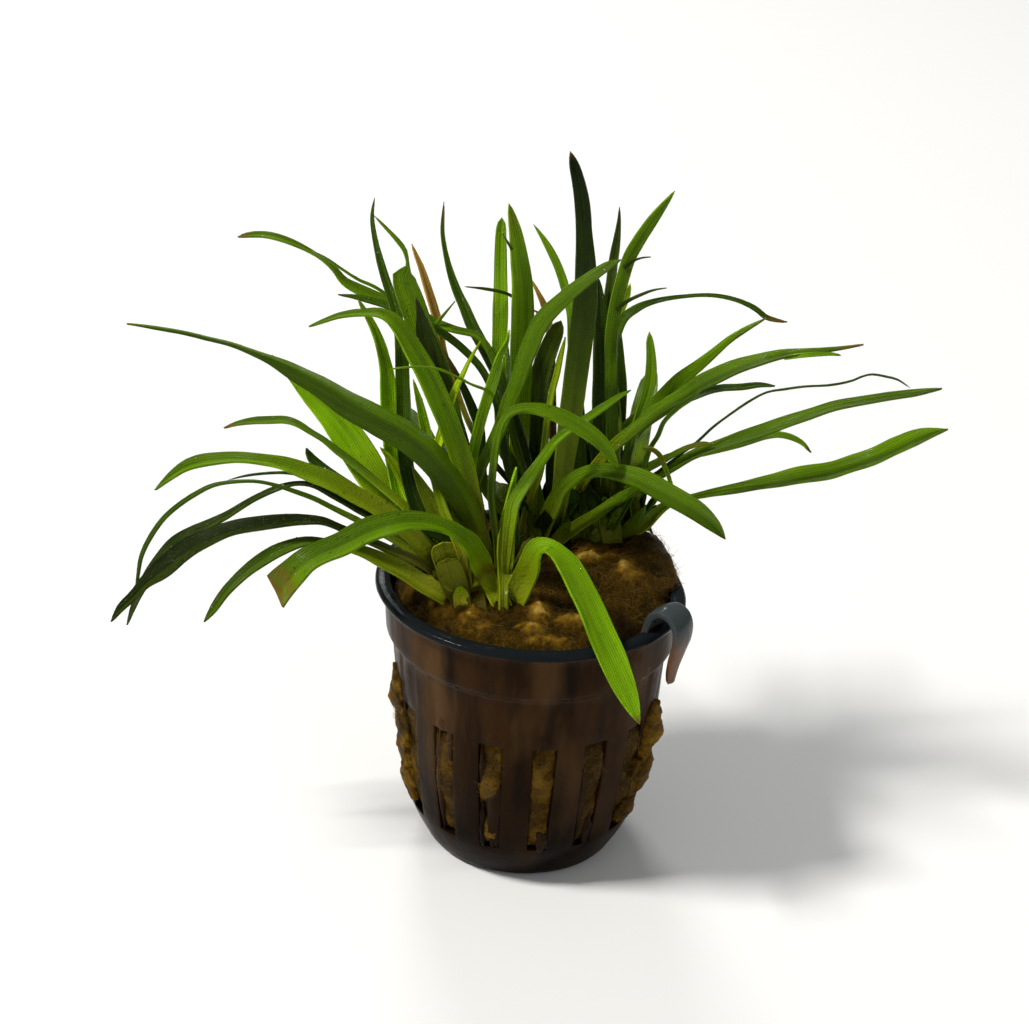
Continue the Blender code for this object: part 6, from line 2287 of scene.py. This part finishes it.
SPRIGS = (
    Sprig("sprig_far_edge", Look(LeafTone.GREEN, (
        (420, 312, 2.4), (394.5, 299, 2.6), (374, 286.5, 2.8), (358, 279.5, 2.6), (343, 270, 2.4),
        (327, 259, 2.2), (311, 250, 1),
    ), pale=0.5, shades=(1.8, 1.8, 1.1)), 19.6, 15),
    Sprig("sprig_twig", Look(LeafTone.GREEN, (
        (436, 324, 2.6), (441, 318, 2.4), (455, 301, 1),
    ), pale=0.5, shades=(1.5, 1.5, 1.5)), 18.2, 18),
    Sprig("sprig_thread_left", Look(LeafTone.GREEN, (
        (492, 395, 2.2), (486, 390, 2), (472, 384.5, 1.8), (455, 376, 1.8), (438, 369, 1.8),
        (414, 367, 1.8), (389.5, 369, 1),
    ), pale=0.5, shades=(1.6, 1.6, 1.6)), 4.5, -6),
    # A dark blade over the shouldered leaf's lower part, which stands for the shade there: painted shade
    Sprig("sprig_painted_shade", Look(LeafTone.GREY, (
        (482, 540, 14), (476, 505, 15), (468, 470, 16), (452, 420, 20), (438, 385, 23), (429, 352, 23),
        (424, 332, 17), (420, 312, 8), (416, 297, 1),
    ), pale=5, shade=1.2), 3, 8.4),
    Sprig("sprig_olive_strip", Look(LeafTone.GREEN, (
        (455, 540, 9), (445, 510, 9), (436, 480, 9), (429, 445, 10), (421, 408, 8), (413, 379, 1),
    ), pale=6, shades=(0.6, 1.5, 2)), 0, 6),
    Sprig("sprig_dark_left", Look(LeafTone.DEEP, (
        (482, 560, 12), (470, 515, 14), (464, 480, 15), (458, 442, 15.5), (453, 415, 10), (450, 401, 2),
    ), pale=0.5, shades=(1.4, 1, 0.5)), 2, 5),
    Sprig("sprig_wire_right", Look(LeafTone.GREY, (
        (624, 268, 2.4), (634, 261, 1.8), (642, 258, 1.6), (651, 257, 0.8),
    ), pale=0.5), 19.2, 19),
    Sprig("sprig_wire_low", Look(LeafTone.GREY, (
        (616, 310, 3), (626, 302, 3), (640, 295, 2.6), (654, 290, 2), (667, 288, 0.8),
    ), pale=0.5, shades=(2, 2, 2)), 17.6, 18),
    Sprig("sprig_bar", Look(LeafTone.GREY, (
        (524, 302, 2.6), (516, 298.5, 2.6), (505, 293, 2.6), (487, 289, 2.6), (465, 286.5, 0.8),
    ), pale=0.5, shades=(2.2, 2.2, 2.2)), 24.6, 19),
    Sprig("sprig_stub", Look(LeafTone.GREY, (
        (548, 320, 3), (543, 316, 3), (534, 310, 1),
    ), pale=0.5), 29, 28),
    Sprig("sprig_edge_thread", Look(LeafTone.GREY, (
        (512, 250, 2), (508, 243, 1.8), (503, 234, 0.8),
    ), pale=0.5, shades=(3, 3, 3)), 21.9, 21.6),
    Sprig("sprig_curl_down", Look(LeafTone.DEEP, (
        (612, 530, 5), (626, 506, 5), (640, 480, 5), (650, 449, 4.6), (658, 436, 4.4), (664, 422, 4.2),
        (678, 408, 4.2), (692, 398, 4), (700, 391, 1),
    ), pale=0.5, shades=(1.4, 2.5, 2.5)), 8, 7),
    Sprig("sprig_long_thread", Look(LeafTone.DEEP, (
        (630, 492, 2.2), (655, 474, 2.2), (680, 455, 2.2), (697, 442, 2), (713, 427, 1.9), (729, 415, 1.8),
        (750, 401, 1.8), (767, 392.5, 1.8), (784, 389.5, 1.8), (805, 386.5, 1.8), (830, 385, 1.8),
        (851, 381, 1.8), (864, 376, 1.8), (872, 374.5, 1.8), (887, 377, 1.8), (898, 380, 1.6),
        (910, 388, 0.8),
    ), pale=0.5), 7.9, 3),
    Sprig("sprig_dead_curl", Look(LeafTone.GREEN, (
        (622, 500, 3), (640, 485, 3), (658, 491, 3), (669, 496, 3), (672, 490, 3), (669, 478, 3.6),
        (664.5, 466.5, 4.4), (660, 456, 4.6), (652.5, 449.5, 4), (641, 448, 3),
    ), withered=9, pale=3, wither_depth=0.55, shades=(1.4, 1.4, 1.2)), 6, 5, 35),
    Sprig("sprig_brown_reach", Look(LeafTone.GREEN, (
        (628, 490, 7), (642, 472, 6.6), (654, 464, 6), (666, 458, 5.4), (687, 447.5, 4.8), (704, 443.5, 4),
        (714, 444.5, 1),
    ), pale=3, withered=7, wither_depth=0.5), 7.9, 6, 20),
    Sprig("sprig_second_tip", Look(LeafTone.LIME, (
        (784, 358, 3), (800, 355.5, 4.4), (818, 354, 4.2), (832, 354, 3), (841, 355.5, 1),
    ), pale=0.1, withered=1, shades=(1.6, 1, 1)), 9, 8.5),
    Sprig("sprig_thin_left", Look(LeafTone.DEEP, (
        (430, 548, 7), (400, 522, 7), (375, 506, 7), (352, 497, 7), (330, 486, 5.4), (310, 477, 3.6),
        (288, 473, 3), (266, 473.5, 2.6), (245, 476, 2), (228, 480, 0.8),
    ), pale=0.5, shades=(1.1, 0.65, 1)), -3, 0),
    Sprig("sprig_gold_edge", Look(LeafTone.YELLOW, (
        (440, 560, 8), (425, 530, 8), (412, 505, 8), (402, 480, 9), (391, 460, 8), (380, 447, 1),
    ), pale=3, shades=(3, 3, 1.5)), -3, 5),
    Sprig("sheath_cup", Look(LeafTone.SHEATH, (
        (461, 603, 20), (457, 590, 24), (452, 577, 27), (449, 567, 26), (447.6, 562.5, 22), (447, 560, 15),
        (446.8, 558.8, 5),
    ), pale=5, shade=1.5), -8.2, -8.8, rooted=True),
    Sprig("sheath_cup_back", Look(LeafTone.SHEATH, (
        (458, 588, 22), (453, 573, 26), (448, 559, 29), (445, 550, 28), (443.6, 546, 24), (443, 543.6, 16),
        (442.8, 542.4, 5),
    ), pale=3, shade=2.0), -6.6, -7.4, rooted=True),
    Sprig("sheath_lip", Look(LeafTone.YELLOW, (
        (461, 603, 14), (461, 598, 16), (460.5, 593, 14), (460, 589, 8), (460, 586.5, 2),
    ), pale=2, shade=1.2), -11.6, -11.6, rooted=True),
    Sprig("sheath_shadow", Look(LeafTone.SHEATH, (
        (477, 604, 18), (474, 590, 18), (470, 577, 16), (465, 566, 12), (461, 557, 3),
    ), pale=6, shade=1.3), -4.5, -3.0, rooted=True),
    Sprig("sheath_left_stalk", Look(LeafTone.SHEATH, (
        (452, 592, 11), (441, 578, 11), (429, 564, 10), (416, 551, 8), (404, 542, 2),
    ), pale=6, shade=0.8), -6.0, -5.0, rooted=True),
    Sprig("sheath_left_fan", Look(LeafTone.GREEN, (
        (457, 588, 16), (445, 570, 18), (432, 552, 18), (418, 536, 15), (403, 520, 10), (389, 506, 2),
    ), pale=10, shade=0.7), -4.5, -2, rooted=True),
    Sprig("sheath_middle_fan", Look(LeafTone.LIME, (
        (470, 583, 20), (458, 558, 22), (446, 533, 21), (434, 508, 17), (422, 486, 10), (412, 466, 1),
    ), pale=30, shade=0.62), -3.5, 0, rooted=True),
    Sprig("sheath_high_fan", Look(LeafTone.GREEN, (
        (484, 578, 19), (475, 550, 20), (464, 520, 18), (452, 490, 13), (442, 464, 1),
    ), pale=20, shade=0.8), -2.5, 1.5, rooted=True),
    Sprig("sheath_inner", Look(LeafTone.GREEN, (
        (510, 586, 14), (511, 560, 15), (513, 532, 12), (515, 507, 7), (517, 494, 1),
    ), pale=5, shade=0.5), -3, -2, rooted=True),
    Sprig("sheath_right_low", Look(LeafTone.GREEN, (
        (612, 541, 20), (611, 531, 21), (609, 519, 20), (606, 506, 13), (604, 497, 2),
    ), pale=6, shade=0.6), 9.5, 10.5, rooted=True),
    Sprig("sheath_right_dark", Look(LeafTone.DEEP, (
        (592, 536, 15), (590, 521, 18), (588, 500, 17), (587, 478, 2),
    ), pale=4, shade=0.6), 12, 14, rooted=True),
    Sprig("sheath_right_tall", Look(LeafTone.DEEP, (
        (600, 535, 18), (598, 500, 20), (596, 465, 19), (595, 430, 12), (594, 405, 2),
    ), pale=4, shade=0.6), 16, 18, rooted=True),
    Sprig("sheath_behind", Look(LeafTone.DEEP, (
        (562, 532, 18), (558, 500, 20), (554, 468, 17), (551, 440, 2),
    ), pale=4, shade=0.6), 15, 16, rooted=True),
    Sprig("sheath_behind_wide", Look(LeafTone.DEEP, (
        (580, 535, 18), (578, 495, 21), (577, 450, 20), (577, 405, 14), (578, 370, 2),
    ), pale=4, shade=0.55), 17, 19, rooted=True),
    Sprig("sheath_mid_low", Look(LeafTone.GREEN, (
        (541, 541, 15), (539, 520, 16), (538, 500, 12), (539, 482, 2),
    ), pale=8, shade=0.7), 8, 10, rooted=True),
)


@dataclass
class Rootstock:
    """A crown: the short fleshy stock that the leaves grow from, with its ring of short sheaths."""

    name: str
    middle: tuple[float, float]
    radius: float
    top: float
    sheaths: int
    front_sheaths: bool
    seed: int
    segments: int = 72
    rings: int = 40
    sunk: float = 3.0

    # A sheath's least and greatest lean in degrees, length, half width and shade, and its outline
    LEANS = (14, 34)
    LENGTHS = (8, 13)
    HALF_WIDTHS = (1.5, 2.3)
    SHEATH_SHADES = (0.45, 0.8)
    OUTLINE = (1.0, 1.0, 0.92, 0.8, 0.62, 0.36, 0.0)
    # Sheaths that lean towards the viewer more than this are left out where the leaves stand before them
    FRONT = -0.55

    def stock(self, material: bpy.types.Material, node: str) -> None:
        """Models the domed stock from a sphere.

        Args:
            material: the sheath material.
            node: the CAD node that it replaces.
        """
        deselect_all()
        bpy.ops.mesh.primitive_uv_sphere_add(segments=self.segments, ring_count=self.rings, radius=1)
        stock = take_new(self.name)
        flat = read_points(stock.data)
        azimuth = np.arctan2(flat[:, 1], flat[:, 0])
        out = np.hypot(flat[:, 0], flat[:, 1])
        scales = 1 + 0.07 * np.abs(np.sin(azimuth * 4.5 + flat[:, 2] * 2)) * out
        low = self.top - self.sunk
        x = self.middle[0] + flat[:, 0] * scales * self.radius
        y = self.middle[1] + flat[:, 1] * scales * self.radius
        z = low + (self.top - low) * (flat[:, 2] * 0.5 + 0.5) ** 0.8
        bumps = [0.3 * rough(place, 1.6, self.seed) for place in zip(x, y, z)]
        place_points(stock.data, np.stack([x, y, z + bumps * (flat[:, 2] > 0)], axis=1) * MM)
        add_attribute(stock.data, "across_mm", azimuth * self.radius)
        add_attribute(stock.data, "run_mm", z - low)
        for name, value in (("pale", 1.0), ("withered", 0.0), ("shade", 0.6)):
            add_attribute(stock.data, name, np.full(len(flat), value))
        smooth_shading(stock, 180)
        finish_piece(stock, material, "crown_flesh", [node])

    def sheath(self, azimuth: float, random: np.random.Generator) -> StrapFrame:
        """A short blade of the ring that closes round the leaves' bases.

        Args:
            azimuth: where it stands on the stock, in degrees.
            random: the generator.

        Returns:
            Its frame.
        """
        turn = math.radians(azimuth)
        out = np.array([math.cos(turn), math.sin(turn), 0.0])
        beside = np.array([-math.sin(turn), math.cos(turn), 0.0])
        lean = math.radians(random.uniform(*self.LEANS))
        length = random.uniform(*self.LENGTHS)
        start = np.array([*self.middle, self.top - 2.2]) + out * self.radius * random.uniform(0.5, 0.8)
        share = np.linspace(0, 1, len(self.OUTLINE))[:, None]
        rise = np.array([0.0, 0.0, 1.0]) * length * math.cos(lean) * share
        away = out * length * math.sin(lean) * (0.45 * share + 0.55 * share**2)
        line = start + rise + away
        ahead = unit(np.gradient(line, axis=0))
        across = np.repeat(beside[None], len(line), axis=0)
        half = random.uniform(*self.HALF_WIDTHS) * np.array(self.OUTLINE)
        return StrapFrame(line, across, -np.cross(across, ahead), half, False)

    def build(self, materials: dict[LeafTone, bpy.types.Material], node: str) -> list[bpy.types.Object]:
        """Models the stock and its ring of sheaths.

        Args:
            materials: the leaf materials.
            node: the CAD node that the stock replaces.

        Returns:
            The sheaths.
        """
        self.stock(materials[LeafTone.SHEATH], node)
        random = np.random.default_rng(self.seed)
        made = []
        for number in range(self.sheaths):
            azimuth = number * 360 / self.sheaths + random.uniform(-10, 10)
            frame_of_sheath = self.sheath(azimuth, random)
            tone = (LeafTone.SHEATH, LeafTone.GREEN, LeafTone.DEEP)[int(random.integers(3))]
            facing_viewer = math.sin(math.radians(azimuth)) < self.FRONT
            if facing_viewer and not self.front_sheaths:
                continue
            name = f"{self.name}_sheath_{number:02d}"
            blade = Blade(name, frame_of_sheath, Look(tone, pale=7), "crown_flesh", exact=True, seed=number)
            made.append(blade.build(materials[tone], random.uniform(*self.SHEATH_SHADES)))
        return made


@dataclass
class LeafTufts:
    """All the blades: those that stand for CAD leaves, the sprigs and the crowns."""

    view: ReferenceView
    plug: bpy.types.Object
    seed: int = 23
    materials: dict[LeafTone, bpy.types.Material] = field(default_factory=dict)
    blades: list[bpy.types.Object] = field(default_factory=list)

    # A rootstock's radius beside its CAD crown's, and how far its top lies below the crown's
    STOCK_SHARE = 0.66
    STOCK_BELOW = 0.3
    CROWN_SEED = 40
    # How far a rooted sprig goes into the wool, and how thick a sprig is
    SPRIG_SINK = 3.0
    SPRIG_THICK = 0.28
    # The least and the greatest shade that chance gives a blade
    SHADES = (0.94, 1.06)
    # Each crown: name, sheaths in its ring, whether the ring also has them in front
    CROWNS = (("crown_left", 13, False), ("crown_middle", 12, True), ("crown_right", 10, True))

    def crown_box(self, name: str) -> tuple[Points, Points]:
        """A CAD crown's low and high corner, in millimetres."""
        low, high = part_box(name)
        return np.array(low) / MM, np.array(high) / MM

    def crown_tops(self) -> list[Points]:
        """The top of each crown.

        Returns:
            The middle of each one's top, in millimetres.
        """
        tops = []
        for name, *_ in self.CROWNS:
            low, high = self.crown_box(name)
            tops.append(np.array([(low[0] + high[0]) / 2, (low[1] + high[1]) / 2, high[2]]))
        return tops

    def build_crowns(self) -> None:
        """Models the crowns where the CAD ones stand."""
        for number, (name, sheaths, front) in enumerate(self.CROWNS):
            low, high = self.crown_box(name)
            middle = ((low[0] + high[0]) / 2, (low[1] + high[1]) / 2)
            radius = (high[0] - low[0]) / 2 * self.STOCK_SHARE
            stock_name = name.replace("crown", "rootstock")
            top = high[2] - self.STOCK_BELOW
            stock = Rootstock(stock_name, middle, radius, top, sheaths, front, self.CROWN_SEED + number)
            self.blades += stock.build(self.materials, name)

    def add(
        self, name: str, strap: StrapFrame, look: Look, random: np.random.Generator, **settings: Any
    ) -> None:
        """Models one blade.

        Args:
            name: the piece's name.
            strap: its frame.
            look: its look.
            random: the generator.
            settings: the blade's own settings.
        """
        blade = Blade(name, strap, look, SLOT_OF[look.tone], **settings)
        self.blades.append(blade.build(self.materials[look.tone], random.uniform(*self.SHADES)))

    def build(self) -> None:
        """Models every blade."""
        random = np.random.default_rng(self.seed)
        self.materials = {tone: tone.value.make() for tone in LeafTone}
        mesh = self.plug.data
        wool = BVHTree.FromPolygons([v.co for v in mesh.vertices], [p.vertices for p in mesh.polygons])
        tracer = Tracer(self.view, wool)
        crowns = self.crown_tops()
        leaves = sorted(name for name in frame["nodes"] if name.startswith("leaf_"))
        for number, name in enumerate(leaves):
            look = LOOKS.get(name, Look(LeafTone.GREEN))
            strap = read_strap(frame["nodes"][name], crowns)
            if look.readings:
                strap = tracer.lay(strap, look)
            settings = {"replaced": (name,), "exact": bool(look.readings), "seed": self.seed + number}
            self.add(name.replace("leaf_", "blade_"), strap, look, random, **settings)
        for number, sprig in enumerate(SPRIGS):
            strap = tracer.strap_of(sprig)
            sink = self.SPRIG_SINK if sprig.rooted else 0.0
            settings = {"exact": True, "thick": self.SPRIG_THICK, "sink": sink, "seed": number}
            self.add(sprig.name, strap, sprig.look, random, **settings)
        self.build_crowns()


@dataclass
class WaterBeads:
    """Small drops of water on wet surfaces, joined into one mesh."""

    name: str
    count: int
    smallest: float
    largest: float
    seed: int

    def bead(self) -> tuple[Points, Points]:
        """One drop of radius 1, made of a small sphere of triangles.

        Returns:
            Its points and its faces.
        """
        deselect_all()
        bpy.ops.mesh.primitive_ico_sphere_add(subdivisions=1, radius=1)
        template = take_new("bead_template")
        points = read_points(template.data)
        faces = np.array([list(face.vertices) for face in template.data.polygons])
        bpy.ops.object.delete()
        return points, faces

    def build(self, wet: Sequence[bpy.types.Object], slot: str, zone: Zone) -> None:
        """Sets the drops on wet pieces.

        Args:
            wet: the pieces that the drops lie on.
            slot: the record's material slot of those pieces.
            zone: where they may lie.
        """
        random = np.random.default_rng(self.seed)
        picks = zone.pick(wet, self.count, random)
        bead_points, bead_faces = self.bead()
        points = []
        faces = []
        for number, (middle, normal) in enumerate(picks):
            size = self.smallest + (self.largest - self.smallest) * random.random() ** 3
            side = unit(np.cross(normal, random.normal(size=3)))
            other = np.cross(normal, side)
            axes = np.stack([side * size * random.uniform(0.9, 1.5), other * size, normal * size * 0.6])
            points.append(middle + bead_points @ axes)
            faces.append(bead_faces + number * len(bead_points))
        beads = joined_mesh(self.name, np.concatenate(points), np.concatenate(faces))
        beads.data.shade_smooth()
        finish_piece(beads, WaterFinish(self.name).make(), slot)


# The studio


@dataclass
class Studio:
    """The floor, the lights and the surroundings."""

    floor_size: float = 24.0
    sky: Colour = (1.0, 1.0, 1.0)
    sky_strength: float = 0.29
    finish: FloorFinish = field(default_factory=FloorFinish)

    # Lights: name, place in metres, size in metres, watts, colour
    LIGHTS = (
        ("key", (-1.9, -0.5, 2.5), 0.55, 100.0, (1.0, 0.98, 0.94)),
        ("fill", (2.0, -2.4, 1.6), 1.6, 9.0, (0.95, 0.98, 1.0)),
        ("back", (-0.6, 2.7, 1.9), 0.9, 34.0, (1.0, 1.0, 1.0)),
    )

    def light(
        self, name: str, place: tuple[float, float, float], size: float, watts: float, colour: Colour
    ) -> None:
        """Adds a soft square light that faces the plant.

        Args:
            name: the light's name.
            place: where it hangs, in metres.
            size: its side, in metres.
            watts: its power.
            colour: its colour.
        """
        data = bpy.data.lights.new(name, "AREA")
        data.size = size
        data.energy = watts
        data.color = colour
        lamp = bpy.data.objects.new(name, data)
        aim = Vector((0, 0, 0.06)) - Vector(place)
        lamp.matrix_world = Matrix.Translation(place) @ aim.to_track_quat("-Z", "Y").to_matrix().to_4x4()
        bpy.context.scene.collection.objects.link(lamp)

    def build(self) -> None:
        """Adds the floor, the lights and the pale surroundings."""
        deselect_all()
        bpy.ops.mesh.primitive_plane_add(size=self.floor_size, location=(0, 0, -0.0001))
        floor = take_new("floor")
        floor.data.materials.append(self.finish.make())
        for light in self.LIGHTS:
            self.light(*light)
        world = bpy.data.worlds.new("surroundings")
        world.use_nodes = True
        background = world.node_tree.nodes["Background"]
        background.inputs["Color"].default_value = (*self.sky, 1)
        background.inputs["Strength"].default_value = self.sky_strength
        bpy.context.scene.world = world
        bpy.context.scene.view_settings.view_transform = "Standard"


# Where the fibres and the drops lie
WOOL_TOP = Zone(47.6, by_place=True)
SLOTS = Zone(8.5, 30.5, least_radius=22.0, by_place=True)
WET_TOP = Zone(48.0, least_up=0.2, by_place=True)
WET_LEAVES = Zone(50.0, least_up=0.15)


def main() -> None:
    """Builds the pieces in order."""
    logging.basicConfig(level=logging.INFO, format="%(name)s: %(message)s")
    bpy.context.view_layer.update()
    view = ReferenceView()
    view.build()
    Studio().build()
    pot = NetPot()
    pot.build()
    plug = WoolPlug(pot).build()
    WoolMats(pot, plug.data.materials[0]).build()
    gold = FibreFinish("wool_fibre_gold", (0.22, 0.125, 0.014), (0.035, 0.02, 0.002))
    pale = FibreFinish("wool_fibre_pale", (0.30, 0.20, 0.05), (0.10, 0.06, 0.01))
    fibres = LooseFibres(gold, count=5600, shortest=1.0, longest=3.4, thick=0.028, lift=0.35, seed=31)
    fibres.build("wool_fibres_top", plug, WOOL_TOP)
    hairs = LooseFibres(pale, count=300, shortest=1.2, longest=2.8, thick=0.016, lift=0.4, seed=33)
    hairs.build("wool_hairs_top", plug, WOOL_TOP)
    fibres = LooseFibres(gold, count=2600, shortest=0.8, longest=2.6, thick=0.026, lift=0.3, seed=37)
    fibres.build("wool_fibres_slots", plug, SLOTS)
    tufts = LeafTufts(view, plug)
    tufts.build()
    sparkle = WaterBeads("wool_sparkle", count=2400, smallest=0.05, largest=0.17, seed=51)
    sparkle.build([plug], "wet_wool", WET_TOP)
    drops = WaterBeads("leaf_drops", count=1700, smallest=0.07, largest=0.24, seed=53)
    drops.build(tufts.blades, "leaf_green", WET_LEAVES)


if __name__ == "__main__":
    main()
